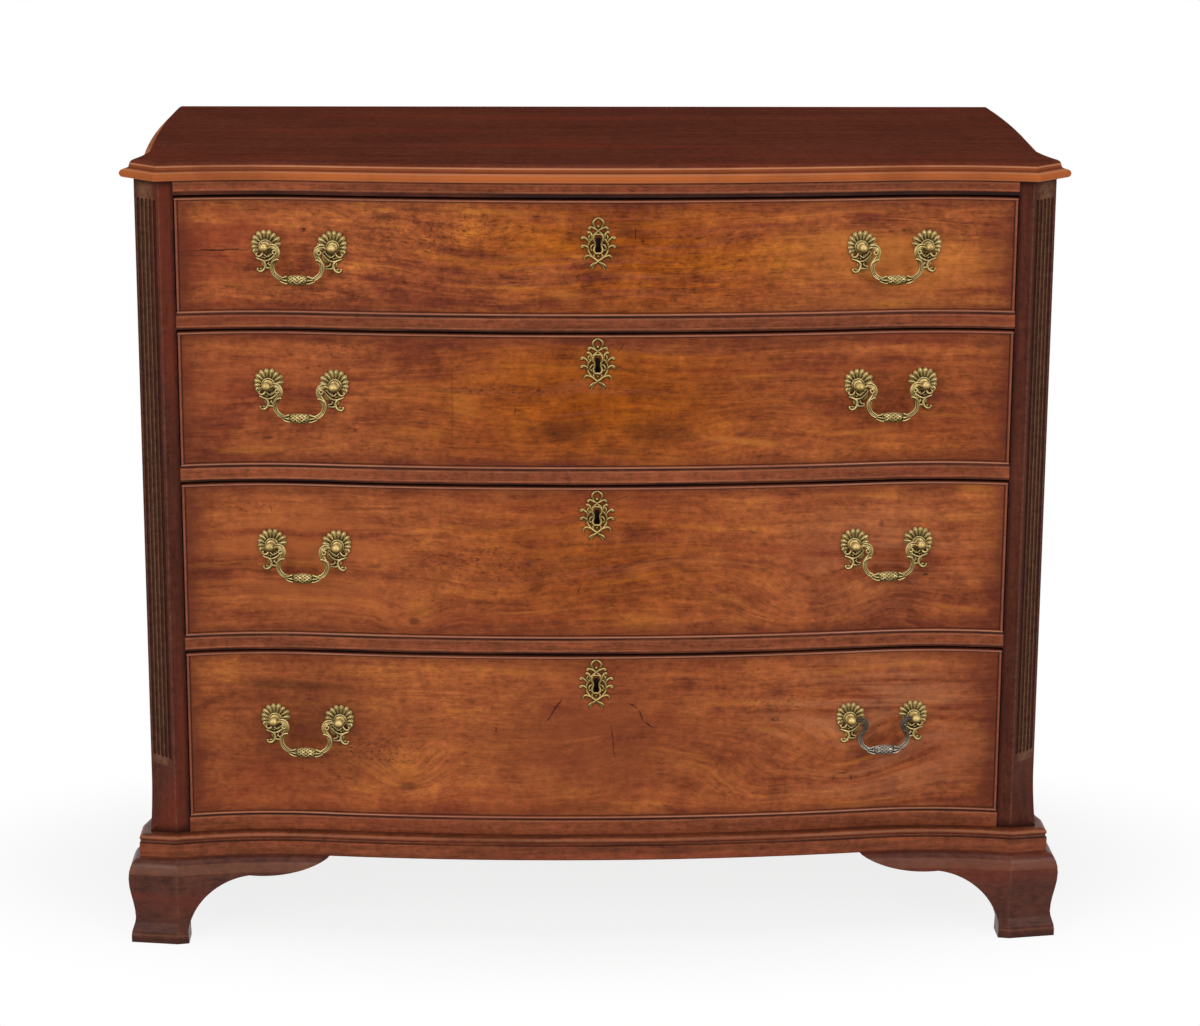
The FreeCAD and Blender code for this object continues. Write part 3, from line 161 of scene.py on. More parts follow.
class Shade:
    """A socket of a node tree. Sums written on it in Python add Math nodes."""

    def __init__(self, tree, socket=None):
        self.tree = tree
        self.socket = socket

    def add(self, kind, settings=None, inputs=None, output=0):
        """Adds a node, sets it up, fills or links its inputs and gives one of its outputs."""
        node = self.tree.nodes.new("ShaderNode" + kind)
        for name, value in (settings or {}).items():
            if name == "stops":
                ramp = node.color_ramp.elements
                ramp[0].position, ramp[1].position = value[0][0], value[-1][0]
                ramp[0].color, ramp[1].color = (*value[0][1], 1), (*value[-1][1], 1)
                for position, colour in value[1:-1]:
                    ramp.new(position).color = (*colour, 1)
            else:
                setattr(node, name, value)
        for name, value in (inputs or {}).items():
            if isinstance(value, Shade):
                self.tree.links.new(value.socket, node.inputs[name])
            else:
                node.inputs[name].default_value = value
        return Shade(self.tree, node.outputs[output])

    def maths(self, operation, *values):
        return self.add("Math", {"operation": operation}, dict(enumerate(values)))

    def vector(self, operation, inputs, output=0):
        return self.add("VectorMath", {"operation": operation}, inputs, output)

    def __add__(self, other):
        return self.maths("ADD", self, other)

    def __sub__(self, other):
        return self.maths("SUBTRACT", self, other)

    def __rsub__(self, other):
        return self.maths("SUBTRACT", other, self)

    def __mul__(self, other):
        return self.maths("MULTIPLY", self, other)

    def __abs__(self):
        return self.maths("ABSOLUTE", self)

    __radd__ = __add__
    __rmul__ = __mul__

    def larger(self, other):
        return self.maths("MAXIMUM", self, other)

    def smaller(self, other):
        return self.maths("MINIMUM", self, other)

    def step(self, low, high):
        """0 up to low and 1 from high, smooth between, or falling where low is the larger."""
        return self.add("MapRange", {"interpolation_type": "SMOOTHSTEP"},
                        {"Value": self, "From Min": low, "From Max": high})

    def noise(self, stretch, detail=3.0, shift=(0, 0, 0), roughness=0.5):
        """A cloud of values about 0.5, stretched by its features per metre on each axis."""
        spot = self.add("Mapping", {}, {"Vector": self, "Location": shift, "Scale": stretch})
        return self.add("TexNoise", {}, {"Vector": spot, "Scale": 1, "Detail": detail, "Roughness": roughness})

    def mixed(self, other, share, blend="MIX"):
        """This colour with a share of another laid on it."""
        sockets = {0: share, 6: self, 7: other if isinstance(other, Shade) else (*other, 1)}
        return self.add("Mix", {"data_type": "RGBA", "blend_type": blend}, sockets, 2)

    def scaled(self, amount):
        """This colour made lighter or darker."""
        return self.vector("SCALE", {0: self, "Scale": amount})

    def oval(self, x, z, half_x, half_z, turn=0.0, soft=0.5):
        """1 inside an oval on a front, placed in millimetres and turned in degrees, and 0 outside it."""
        local = self.add("Mapping", {"vector_type": "TEXTURE"}, {
            "Vector": self, "Location": (x * MM, 0, z * MM), "Rotation": (0, math.radians(turn), 0),
            "Scale": (half_x * MM, 1000, half_z * MM)})
        return local.vector("LENGTH", {0: local}, "Value").step(1, 1 - soft)


def new_material(name):
    """An empty material: its tree's start and its shader."""
    material = bpy.data.materials.new(name)
    material.use_nodes = True
    return material, Shade(material.node_tree), material.node_tree.nodes["Principled BSDF"]


def feed(start, shader, **sockets):
    """Links a material's values to its shader's sockets."""
    for name, value in sockets.items():
        start.tree.links.new(value.socket, shader.inputs[name.replace("_", " ")])


def grain_place(start, order):
    """Object coordinates as along, across and through the grain, and the plain place."""
    place = start.add("TexCoord", output="Object")
    split = place.add("SeparateXYZ", {}, {0: place})
    parts = {axis: Shade(split.tree, split.socket.node.outputs[axis.upper()]) for axis in "xyz"}
    return place, parts, [parts[axis] for axis in order]


def timber(name, stops, order, shift=0.0, bend=0.03, strength=1.0, lift=0.0, fibre=1.0, rough=0.45, gloss=0.06,
           foot=0.0, swirls=(), tints=(), marks=(), pale_marks=(), pits=(), bands=(), arrises=(), grime=None,
           edges=None):
    """A polished wood with flowing figure, streaks, fibres and pores, and the marks of its age, with light and shade
    painted along its edges, gaps and recesses.
    """
    look = bpy.context.scene.chest_wood
    material, start, shader = new_material(name)
    place, parts, (along, across, through) = grain_place(start, order)
    front = place.add("Mapping", {}, {"Vector": place, "Location": (0, 0, -foot * MM)})
    drift = place.noise((2.6, 2.6, 2.6), 2.0, (shift, shift * 0.7, 3.1))
    ripple = place.noise((10, 10, 16), 3.0, (shift, 29, 0))
    flow = across + (drift - 0.5) * bend + (ripple - 0.5) * 0.011
    for x, z, half_x, half_z, rise in swirls:
        flow = flow + front.oval(x, z, half_x, half_z, soft=1.0) * (rise * MM)
    grain = start.add("CombineXYZ", {}, {0: along, 1: flow, 2: through})
    broad = grain.noise((1.3, 15, 5), 4.0, (shift, 0, 0), 0.55)
    streak = grain.noise((3.6, 80, 26), 5.0, (shift, 2, 0), 0.65)
    fleck = grain.noise((15, 190, 64), 5.0, (shift, 3, 0), 0.75)
    pores = grain.noise((70, 720, 260), 2.0, (shift, 7, 0), 0.6).step(0.56, 0.70)
    ribbon = grain.noise((34, 10, 10), 4.0, (shift, 11, 0), 0.6)
    cloud = place.noise((6, 6, 6), 5.0, (shift, 13, 0), 0.6)
    mottle = place.noise((110, 110, 150), 5.0, (shift, 19, 0), 0.75)
    patch = place.noise((22, 22, 34), 5.0, (shift, 31, 0), 0.68)
    fine = (streak * 0.34 + fleck * 0.24) * fibre + patch * (0.58 - 0.58 * fibre)
    tone = (broad + cloud) * 0.30 + fine * (1.2 * strength) + (0.2 + lift - 0.348 * strength)
    colour = start.add("ValToRGB", {"stops": stops}, {0: tone})
    light = (fleck - 0.5) * 0.36 + (ribbon - 0.5) * 0.34 + (mottle - 0.5) * 1.25 - pores * 0.24
    colour = colour.scaled(light * strength + 1)
    red = grain.noise((2.2, 22, 9), 3.0, (shift, 17, 0)).step(0.52, 0.72)
    colour = colour.mixed(look.red, red * 0.34)
    gold = grain.noise((5, 60, 20), 5.0, (shift, 23, 0), 0.7).step(0.54, 0.72)
    colour = colour.mixed(stops[-1][1], gold * 0.36)
    veins = ((broad + streak) * 0.5).step(0.40, 0.54)
    for x, z, half_x, half_z, shade, share in tints:
        veil = front.oval(x, z, half_x, half_z, soft=1.0) * (veins * share)
        colour = colour.mixed(getattr(look, shade), veil, "MULTIPLY" if shade == "amber" else "MIX")
    for x, z, half_x, half_z, turn, share in pale_marks:
        colour = colour.mixed(look.light, front.oval(x, z, half_x, half_z, turn, 0.8) * (share * 0.8))
    jitter = front.add("TexNoise", {}, {"Vector": front, "Scale": 160.0, "Detail": 2.0}, 1).scaled(0.004)
    ragged = front.vector("ADD", {0: front, 1: jitter})
    ragged = ragged.vector("SUBTRACT", {0: ragged, 1: (0.002, 0.002, 0.002)})
    for x, z, half_x, half_z, turn, share in marks:
        soft = 0.75 if min(half_x, half_z) > 2 else 0.6
        colour = colour.mixed(look.stain, ragged.oval(x, z, half_x, half_z, turn, soft) * share)
    for x, z, half_x, half_z in pits:
        dots = place.noise((240, 240, 420), 3.0, (shift, 0, 0), 0.7).step(0.55, 0.66)
        colour = colour.mixed(look.stain, dots * front.oval(x, z, half_x, half_z, soft=0.9) * 0.8)
    # Bands across the height and lines along the arrises, as given: marks of age, and painted light and shade on the
    # mouldings and by the gaps
    for low, high, shade, share in bands:
        inside = (parts["z"] - low * MM).smaller(high * MM - parts["z"]).step(0, 0.0006)
        colour = colour.mixed(getattr(look, shade), inside * (cloud.step(0.3, 0.6) * 0.5 + 0.5) * share)
    for x, half, shade, share, low in arrises:
        line = (abs(abs(parts["x"]) - x * MM)).step(half * MM, 0) * (mottle.step(0.40, 0.60) * 0.6 + 0.4)
        colour = colour.mixed(getattr(look, shade), line * parts["z"].step(low * MM, low * MM + 0.004) * share)
    # Darker where ambient occlusion finds the wood enclosed, in flutes and corners: painted shade, with grime
    if grime:
        open_air = start.add("AmbientOcclusion", {"samples": 8}, {"Distance": 0.012}, "AO")
        share, clear, shut = grime
        colour = colour.mixed(look.stain, open_air.step(clear, shut) * share)
    # Darker towards a front's edges and ends, and a dark line in the crease along the cockbead: painted shade, with
    # grime
    if edges:
        half, low, high = edges
        end = (half * MM - abs(parts["x"]))
        rim = (parts["z"] - low * MM).smaller(high * MM - parts["z"]).smaller(end)
        # Ragged distance from the front's rim, for the darker band
        worn = rim + (cloud - 0.5) * 0.016
        colour = colour.mixed(look.deep, worn.step(0.018, 0.002) * 0.42)
        colour = colour.mixed(look.deep, (end + (cloud - 0.5) * 0.06).step(0.05, 0.0) * 0.45)
        colour = colour.mixed(look.stain, rim.step(0.0018, 0.0004) * 0.7)
    height = fleck * 0.5 + mottle * 0.4 - pores
    bump = start.add("Bump", {}, {"Strength": 0.12, "Distance": 0.0004, "Height": height})
    feed(start, shader, Base_Color=colour, Normal=bump,
         Roughness=(streak - 0.5) * 0.16 + pores * 0.12 + rough)
    shader.inputs["Specular IOR Level"].default_value = gloss
    return material


def shades_of(colour, spread=1.0):
    """Five stops of a ramp about a main colour."""
    levels = ((0.24, 0.46), (0.40, 0.76), (0.50, 1.0), (0.60, 1.26), (0.76, 1.6))
    return [(stop, tuple(min(1.0, part * level ** spread) for part in colour)) for stop, level in levels]


def bare_wood(name, colour, order, shift, seams=()):
    """An unpolished secondary wood with darker late grain, handling marks and dust."""
    look = bpy.context.scene.chest_wood
    material, start, shader = new_material(name)
    place, parts, (along, across, through) = grain_place(start, order)
    drift = place.noise((3, 3, 3), 2.0, (shift, 0, 0))
    grain = start.add("CombineXYZ", {}, {0: along, 1: across + (drift - 0.5) * 0.05, 2: through})
    lines = grain.noise((1.2, 95, 60), 3.0, (shift, 1, 0), 0.6)
    fibre = grain.noise((22, 560, 400), 2.0, (shift, 4, 0))
    flecks = grain.noise((70, 900, 600), 0.0, (shift, 8, 0)).step(0.64, 0.74)
    grime = place.noise((7, 7, 7), 5.0, (shift, 9, 0), 0.6)
    shade = start.add("ValToRGB", {"stops": shades_of(colour, 0.7)}, {0: lines * 0.6 + grime * 0.4})
    shade = shade.scaled(1 + (fibre - 0.5) * 0.3 - flecks * 0.22)
    shade = shade.mixed(look.stain, grime.step(0.56, 0.78) * 0.4)
    for seam, change in seams:
        shade = shade.scaled(1 + parts["x"].step(seam - 0.0003, seam + 0.0003) * change)
        shade = shade.mixed(look.stain, abs(parts["x"] - seam).step(0.0024, 0.0006) * 0.85)
    bump = start.add("Bump", {}, {"Strength": 0.25, "Distance": 0.0004, "Height": fibre - flecks})
    feed(start, shader, Base_Color=shade, Normal=bump, Roughness=lines * 0.2 + 0.62)
    shader.inputs["Specular IOR Level"].default_value = 0.15
    return material


def cast_brass(name, main, rub, darker_from=None):
    """Old lacquered brass: lighter on its high places that face up, as painted highlight with wear, and darker on its
    undersides and in its recesses, as painted shade with patina in the hollows.
    """
    look = bpy.context.scene.chest_brass
    material, start, shader = new_material(name)
    place = start.add("TexCoord", output="Object")
    cloud = place.noise((95, 95, 95), 4.0, (0, 0, 0), 0.6)
    speck = place.noise((700, 700, 700), 2.0, (4, 0, 0))
    open_air = start.add("AmbientOcclusion", {"samples": 8}, {"Distance": 0.005}, "AO")
    point = start.add("NewGeometry", output="Pointiness")
    facing = start.add("SeparateXYZ", {}, {0: start.add("NewGeometry", output="Normal")}, "Z")
    # High places in the open that face up: painted highlight, with wear
    rubbed = (point + (cloud - 0.5) * 0.08).step(0.495, 0.575) * open_air.step(0.5, 0.95) * facing.step(-0.4, 0.5)
    colour = start.add("ValToRGB", {"stops": shades_of(main, 0.7)}, {0: cloud})
    colour = colour.mixed(look.worn, rubbed * rub)
    # Undersides darker: painted shade. Recesses found by ambient occlusion darker: painted shade, with patina
    colour = colour.mixed(look.shade_and_grime, facing.step(0.2, -0.6) * 0.85)
    colour = colour.mixed(look.shade_and_grime, (open_air + (cloud - 0.5) * 0.25).step(0.92, 0.5) * 0.96)
    # Darker above a given height, over a bail's upper arms
    if darker_from is not None:
        height = start.add("SeparateXYZ", {}, {0: place}, "Z")
        colour = colour.mixed(look.shade_and_grime, height.step(darker_from - 0.016, darker_from + 0.004) * 0.8)
    bump = start.add("Bump", {}, {"Strength": 0.2, "Distance": 0.0003, "Height": speck * 0.5 + cloud})
    feed(start, shader, Base_Color=colour, Normal=bump,
         Roughness=0.42 + (cloud - 0.5) * 0.3 - rubbed * 0.14, Metallic=0.5 - (1 - open_air) * 0.45)
    shader.inputs["Specular IOR Level"].default_value = 0.1
    return material


def dull_iron(name):
    """Dark iron of the locks, with rust in patches."""
    material, start, shader = new_material(name)
    place = start.add("TexCoord", output="Object")
    cloud = place.noise((60, 60, 60), 5.0, (0, 0, 0), 0.65)
    rust = cloud.step(0.54, 0.66)
    colour = start.add("ValToRGB", {"stops": shades_of(srgb(66, 62, 58), 0.6)}, {0: cloud})
    colour = colour.mixed(srgb(92, 50, 28), rust * 0.6)
    bump = start.add("Bump", {}, {"Strength": 0.3, "Distance": 0.0004, "Height": cloud})
    feed(start, shader, Base_Color=colour, Normal=bump, Roughness=rust * 0.3 + 0.5, Metallic=0.85 - rust * 0.7)
    return material


# Figure and marks of each drawer front, as ovals: their middle across the front and above its lower edge, and
# their half sizes, all in millimetres. Then come a tint's colour and share, the rise of a swirl's grain, or the
# turn in degrees and the share of a mark. Pits have no more than their oval. The last mark of each front is
# painted shade, a dark oval in the keyhole's opening
FRONT_FIGURE = {
    1: {
        "strength": 1.8, "lift": 0.02, "fibre": 0.62,
        "tints": [(40, 67, 330, 130, "amber", 1.0), (-420, 67, 130, 80, "red", 0.7),
            (340, 67, 200, 110, "light", 0.42)],
        "swirls": [(-120, 57.7, 190, 60, 12.1), (200, 92.7, 170, 50, -9.9), (330, 32.7, 140, 40, 7.7)],
        "marks": [(-329, 94.7, 3, 2.8, 0, 0.85), (330, 91.7, 5, 3, 10, 0.5), (345, 93.7, 5, 3, -10, 0.55),
            (-424, 71.2, 46, 1.0, 0, 1), (42, 93.7, 0.8, 11, 0, 0.8), (32, 92.7, 13, 11, 0, 0.3),
            (50, 84.7, 1.7, 1.7, 0, 0.7), (-235, 110.7, 26, 6, 4, 0.5), (-200, 118.7, 46, 3, 3, 0.4),
            # Its last mark is painted shade in the keyhole's opening
            (-30, 90.7, 15, 14, 0, 0.28), (-150, 74.7, 60, 5, 2, 0.2), (0, 80.2, 7.4, 14, 0, 1)],
        "pale_marks": [(210, 110.7, 90, 0.9, -3, 0.6), (370, 103.7, 80, 0.9, 5, 0.6), (-120, 117.7, 70, 5, 2, 0.45),
            (240, 87.7, 60, 3, 0, 0.4), (-40, 25.7, 30, 8, 0, 0.4), (-20, 67.7, 26, 3, 0, 0.55)],
        "pits": [(-190, 92.7, 160, 44), (-330, 12.7, 90, 12)],
    },
    2: {
        "strength": 1.4, "lift": -0.025, "fibre": 0.6,
        "tints": [(0, 79, 330, 150, "amber", 1.0), (350, 60, 190, 110, "amber", 0.4),
            (-400, 90, 140, 80, "red", 0.25)],
        "swirls": [(-60, 58.7, 170, 60, 14.3), (190, 38.7, 120, 45, -13.2), (-300, 118.7, 150, 40, 7.7)],
        "marks": [(-38, 44.7, 56, 18, 0, 0.44), (70, 42.7, 66, 21, 0, 0.4), (24, 20.7, 44, 6, 0, 0.3),
            (-164, 78.7, 1.4, 74, 0, 0.3), (-373, 31.7, 8, 2.6, 0, 0.55), (-274, 42.7, 4, 3, 0, 0.5),
            (-93, 66.7, 0.9, 7, 15, 0.7), (26, 139.7, 0.8, 11, 40, 0.6), (-231, 90.7, 32, 4, 0, 0.35),
            (-327, 112.7, 3.5, 2.4, 0, 0.5), (300, 146.7, 40, 6, 0, 0.22), (440, 140.7, 24, 10, 0, 0.35),
            # Painted shade in the keyhole's opening
            (0, 119.7, 7.4, 14, 0, 1)],
        "pale_marks": [(-150, 73.7, 24, 22, 0, 0.3), (170, 30.7, 70, 6, 6, 0.5), (300, 38.7, 60, 4, -4, 0.4)],
        "pits": [(-285, 136.7, 66, 16), (-200, 22.7, 110, 3.5), (-110, 90.7, 120, 8)],
    },
    3: {
        "strength": 1.4, "lift": 0.0, "fibre": 0.55,
        "tints": [(0, 90, 270, 140, "amber", 0.6), (-340, 90, 170, 110, "pale", 0.7),
            (330, 90, 170, 100, "rubbed", 0.15)],
        "swirls": [(252, 38.7, 110, 62, 28.6), (-209, 23.7, 60, 44, 18.7), (120, 88.7, 130, 60, -16.5),
            (-90, 58.7, 110, 60, 13.2), (340, 18.7, 90, 40, -14.3)],
        "marks": [(-209, 18.7, 8, 7, 0, 0.55), (-372, 148.7, 1, 9, -15, 0.5), (-262, 150.7, 66, 3, -2, 0.4),
            (-253, 83.7, 13, 4, 0, 0.4), (48, 131.7, 22, 12, 0, 0.2), (328, 129.7, 4, 6, 0, 0.5),
            (381, 67.7, 5, 1.4, -15, 0.85), (95, 84.7, 38, 7, 30, 0.28), (-20, 58.7, 1, 12, 20, 0.5),
            (150, 38.7, 40, 8, 24, 0.25), (-40, 88.7, 40, 14, 0, 0.2), (30, 166.7, 14, 1, -20, 0.5),
            # Painted shade in the keyhole's opening
            (0, 143.7, 7.4, 14, 0, 1)],
        "pale_marks": [(431, 171.7, 30, 7, 0, 0.6), (-205, 34.7, 24, 20, 0, 0.3), (60, 18.7, 40, 24, 0, 0.25)],
        "pits": [(-400, 150.7, 60, 12), (-130, 88.7, 120, 40)],
    },
    4: {
        "strength": 1.4, "lift": 0.005, "fibre": 0.52,
        "tints": [(-340, 110, 180, 120, "deep", 0.62), (330, 100, 190, 130, "rubbed", 0.32),
            (0, 100, 220, 130, "dark", 0.8), (390, 70, 70, 40, "red", 0.4), (-380, 40, 80, 40, "red", 0.4)],
        "swirls": [(-218, 50.7, 66, 54, 30.8), (290, 56.7, 150, 74, 34.1), (60, 76.7, 120, 80, -22),
            (180, 36.7, 70, 44, 19.8), (-380, 76.7, 100, 50, 8.8)],
        "marks": [(-352, 156.7, 112, 8, 2, 0.42), (-440, 139.7, 42, 6, -22, 0.35), (-218, 36.7, 15, 8.5, 0, 0.42),
            (-48, 132.7, 1.15, 25, 33, 0.85), (-116, 107.7, 1, 3.4, 0, 0.8), (-121, 129.7, 0.8, 9, 0, 0.4),
            (-299, 46.7, 2, 4, 0, 0.5), (43, 136.7, 9, 1.15, 30, 0.85), (52, 125.7, 1.15, 9, -18, 0.85),
            (61, 113.7, 10, 1.15, 34, 0.85), (20, 92.7, 1.2, 28, -6, 0.6), (289, 47.7, 11, 1.2, -8, 0.7),
            (300, 40.7, 0.9, 7, -8, 0.55), (279, 42.7, 0.9, 6, 18, 0.45), (388, 65.7, 1, 6, -24, 0.5),
            (206, 116.7, 3, 3, 0, 0.5), (212, 117.7, 1, 3, 0, 0.5), (198, 98.7, 4, 1.6, 0, 0.5),
            (141, 63.7, 2.4, 2.4, 0, 0.5), (184, 26.7, 2.4, 2.4, 0, 0.5), (161, 76.7, 2.2, 2.2, 0, 0.45),
            (-330, 138.7, 6, 5, 0, 0.25), (331, 133.7, 6, 5, 0, 0.3), (-20, 14.7, 70, 8, 0, 0.25),
            # Painted shade in the keyhole's opening
            (0, 161.7, 7.4, 14, 0, 1)],
        "pale_marks": [(-218, 56.7, 22, 14, 0, 0.35), (310, 62.7, 60, 4, -14, 0.4), (-190, 152.7, 60, 0.9, 2, 0.5),
            (330, 176.7, 80, 5, -3, 0.35)],
        "pits": [(-260, 76.7, 120, 30), (200, 136.7, 90, 16)],
    },
}


def give(node, material):
    """Gives a CAD node its finish."""
    for slot in frame["nodes"][node].material_slots:
        slot.material = material


class CHEST_OT_carcase(bpy.types.Operator):
    """Finish the top, posts, sides, rails, mouldings, feet and back"""
    bl_idname = "chest.carcase"
    bl_label = "Carcase"

    def execute(self, context):
        look = context.scene.chest_wood
        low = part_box("top_board")[0].z / MM
        quirk = low + 10.4
        # The top's moulded edge: painted light over the nose and the moulding above it, painted highlight lines along
        # its arrises, and painted shade just above the quirk
        edge = [(low - 1, quirk, "edge", 0.85), (quirk, low + 17, "edge", 0.4), (low + 8, low + 10.2, "rubbed", 0.4),
                (low + 0.8, low + 2.6, "rubbed", 0.35), (quirk, low + 12.4, "deep", 0.5),
                (low + 14.2, low + 16.4, "rubbed", 0.7)]
        give("top_board", timber(
            "mahogany_top", shades_of(look.top, 0.7), "xyz", 1.7, gloss=0.0, rough=0.55, bands=edge))
        rail_stops = shades_of(look.rail, 0.9)
        for index, node in enumerate(RAILS):
            low, high = (corner.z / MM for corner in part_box(node))
            gap = TOP_RAIL_GAP if node == "top_rail" else RAIL_GAP_SHADE
            # Painted shade in the gaps above and below the drawers, and painted highlight lines beside it
            shade_and_grime = [(high - RAIL_GAP_SHADE, high + 1, "stain", 0.95), (high - 4.6, high - 2.6, "rubbed", 0.2)]
            if node != "bottom_rail":
                shade_and_grime += [(low - 1, low + gap, "stain", 1.0), (low + gap + 0.4, low + gap + 2.2, "rubbed", 0.2)]
            cracks = [(36, 0, 7, 0.8, 24, 0.9), (50, 4, 9, 0.7, 12, 0.8)] if node == "top_rail" else ()
            give(node, timber(
                f"mahogany_{node}", rail_stops, "xzy", 5.3 + index * 2.9, bend=0.012, strength=1.5, gloss=0.1,
                foot=(low + high) / 2, marks=cracks, bands=shade_and_grime))
        stops = shades_of(look.post, 0.8)
        # Along the posts: a painted highlight with wear on the arris, painted shade in the gap beside the drawers, and
        # a lighter, greyer colour over the fluted canted faces
        lines = [(POST_ARRIS, 1.6, "rubbed", 0.12, 0), (OPENING_END, 6, "stain", 1.0, 0),
                 (CANT_MIDDLE, 17, "cant", 0.7, FLUTE_FOOT)]
        for index, hand in enumerate(HANDS):
            give(f"{hand}_corner_post", timber(
                f"mahogany_{hand}_post", stops, "zxy", 21.3 + index * 4, bend=0.012, strength=1.3, gloss=0.05,
                grime=(0.85, 0.97, 0.62), arrises=lines))
            give(f"{hand}_side_panel", timber(f"mahogany_{hand}_side", stops, "zyx", 31.3 + index * 4, bend=0.05))
        low, high = (corner.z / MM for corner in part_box("base_moulding"))
        # The base moulding: painted shade in its quirk, under its round and in the crease along its top, a painted
        # highlight on the round, and a darker line along its lower edge
        edge = [(low - 1, low + 1.8, "deep", 0.5), (low + 16.4, low + 19, "stain", 0.7),
                (high - 4.6, high - 1.6, "rubbed", 0.2), (high - 1.2, high + 1, "stain", 0.5),
                (low + 19, high - 4.6, "deep", 0.45)]
        give("base_moulding", timber(
            "mahogany_base", rail_stops, "xzy", 41.9, bend=0.012, strength=1.5, lift=-0.03, gloss=0.12, rough=0.36,
            bands=edge, grime=(0.6, 0.8, 0.25)))
        # The feet: painted shade at their bottoms by the floor, and painted highlight lines low on the foot, on the
        # swell and along the arris
        feet = timber(
            "mahogany_feet", shades_of(look.foot, 0.8), "xzy", 47.2, strength=1.5, fibre=0.2, gloss=0.14, rough=0.34,
            grime=(0.5, 0.8, 0.25), arrises=[(FOOT_ARRIS, 3, "rubbed", 0.04, 0)],
            bands=[(-1, 6, "stain", 0.35), (8, 11, "rubbed", 0.08), (84, 96, "rubbed", 0.10)])
        for corner in FEET:
            give(f"{corner}_foot", feet)
        low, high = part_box("back_boards")
        board = (high.x - low.x) / (len(BOARD_TONES) + 1)
        seams = [(low.x + board * index, change) for index, change in enumerate(BOARD_TONES, 1)]
        give("back_boards", bare_wood("pine_back", look.pine, "zxy", 2.2, seams))
        boards = bare_wood("pine_boards", look.pine, "xyz", 6.4)
        for node in ("carcase_bottom", "dustboards", "glue_blocks"):
            give(node, boards)
        give("runners_and_guides", bare_wood("oak_runners", look.oak, "yxz", 3.6))
        return {"FINISHED"}


class CHEST_OT_drawers(bpy.types.Operator):
    """Finish the drawer fronts with their figure and marks, and the cockbeads, linings and locks"""
    bl_idname = "chest.drawers"
    bl_label = "Drawers"

    def execute(self, context):
        look = context.scene.chest_wood
        stops = list(zip((0.26, 0.40, 0.50, 0.60, 0.76), (look.deep, look.dark, look.middle, look.pale, look.light)))
        iron = dull_iron("iron_lock")
        for number in DRAWERS:
            drawer = f"drawer_{number}"
            low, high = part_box(f"{drawer}_front")
            edges = (FRONT_END, low.z / MM + EDGE_INSET, high.z / MM - EDGE_INSET)
            figure = {**FRONT_FIGURE[number]}
            # Painted shade round and below the brass fittings, with the grime of polish
            figure["marks"] = figure["marks"] + self.shade_and_polish_round_brass(number, low.z)
            give(f"{drawer}_front", timber(
                f"mahogany_{drawer}", stops, "xzy", number * 13.7, bend=0.04, gloss=0.08, foot=low.z / MM,
                edges=edges, **figure))
            low, high = (corner.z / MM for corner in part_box(f"{drawer}_cockbead"))
            # Painted shade in the gaps along the cockbead's top and bottom and at its ends, and painted highlight
            # lines on the bead
            shadow = [(low - 1, low + 1.0, "stain", 0.95), (high - 0.9, high + 1, "stain", 0.8),
                      (low + 1.0, low + 2.6, "rubbed", 0.5), (high - 2.6, high - 1.0, "rubbed", 0.4)]
            give(f"{drawer}_cockbead", timber(
                f"mahogany_cockbead_{number}", shades_of(look.rail, 0.6), "xzy", 61.0, bend=0.005, lift=0.03,
                gloss=0.3, rough=0.36, bands=shadow, arrises=[(BEAD_END, 1.8, "stain", 1.0, 0)]))
            give(f"{drawer}_box", bare_wood(f"oak_{drawer}_sides", look.oak, "yzx", number * 3.1))
            give(f"{drawer}_bottom", bare_wood(f"oak_{drawer}_bottom", look.oak, "xyz", number * 5.3))
            give(f"{drawer}_lock", iron)
            give(f"{drawer}_lock_bolt", iron)
        return {"FINISHED"}

    def shade_and_polish_round_brass(self, number, foot):
        """Soft dark marks round and below the fittings of a front: painted shade of the fittings, with the grime that
        polish leaves round them.
        """
        half = bpy.context.scene.chest_brass.boring / 2 * MM
        low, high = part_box(f"drawer_{number}_escutcheon")
        spots = [((low.x + high.x) / 2, (low.z + high.z) / 2, 17, 29, 0.36)]
        for hand in HANDS:
            pivot, line, _ = handle_frame(number, hand)
            for side in (-1, 1):
                post = pivot + line * (half * side)
                spots.append((post.x - line.x * side * 0.002, post.z - 0.006, 18, 24, 0.42))
        return [(x / MM, (z - foot) / MM, wide, tall, 0, share) for x, z, wide, tall, share in spots]


def bare():
    """Leaves nothing selected, so that an operator acts on the new piece alone."""
    bpy.ops.object.select_all(action="DESELECT")


def in_edit_mode():
    """Opens the active piece for editing, with all of it selected."""
    bpy.ops.object.mode_set(mode="EDIT")
    bpy.ops.mesh.select_all(action="SELECT")


def in_object_mode():
    """Closes the active piece again."""
    bpy.ops.object.mode_set(mode="OBJECT")


def joined(pieces, name):
    """Joins cast pieces into one, closes it and turns its faces outwards."""
    bare()
    for piece in pieces:
        piece.select_set(True)
    bpy.context.view_layer.objects.active = pieces[0]
    bpy.ops.object.join()
    whole = bpy.context.object
    whole.name = whole.data.name = name
    bpy.ops.object.transform_apply(location=True, rotation=True, scale=True)
    in_edit_mode()
    bpy.ops.mesh.remove_doubles(threshold=0.002)
    bpy.ops.mesh.normals_make_consistent(inside=False)
    in_object_mode()
    bpy.ops.object.shade_smooth_by_angle(angle=math.radians(50))
    return whole


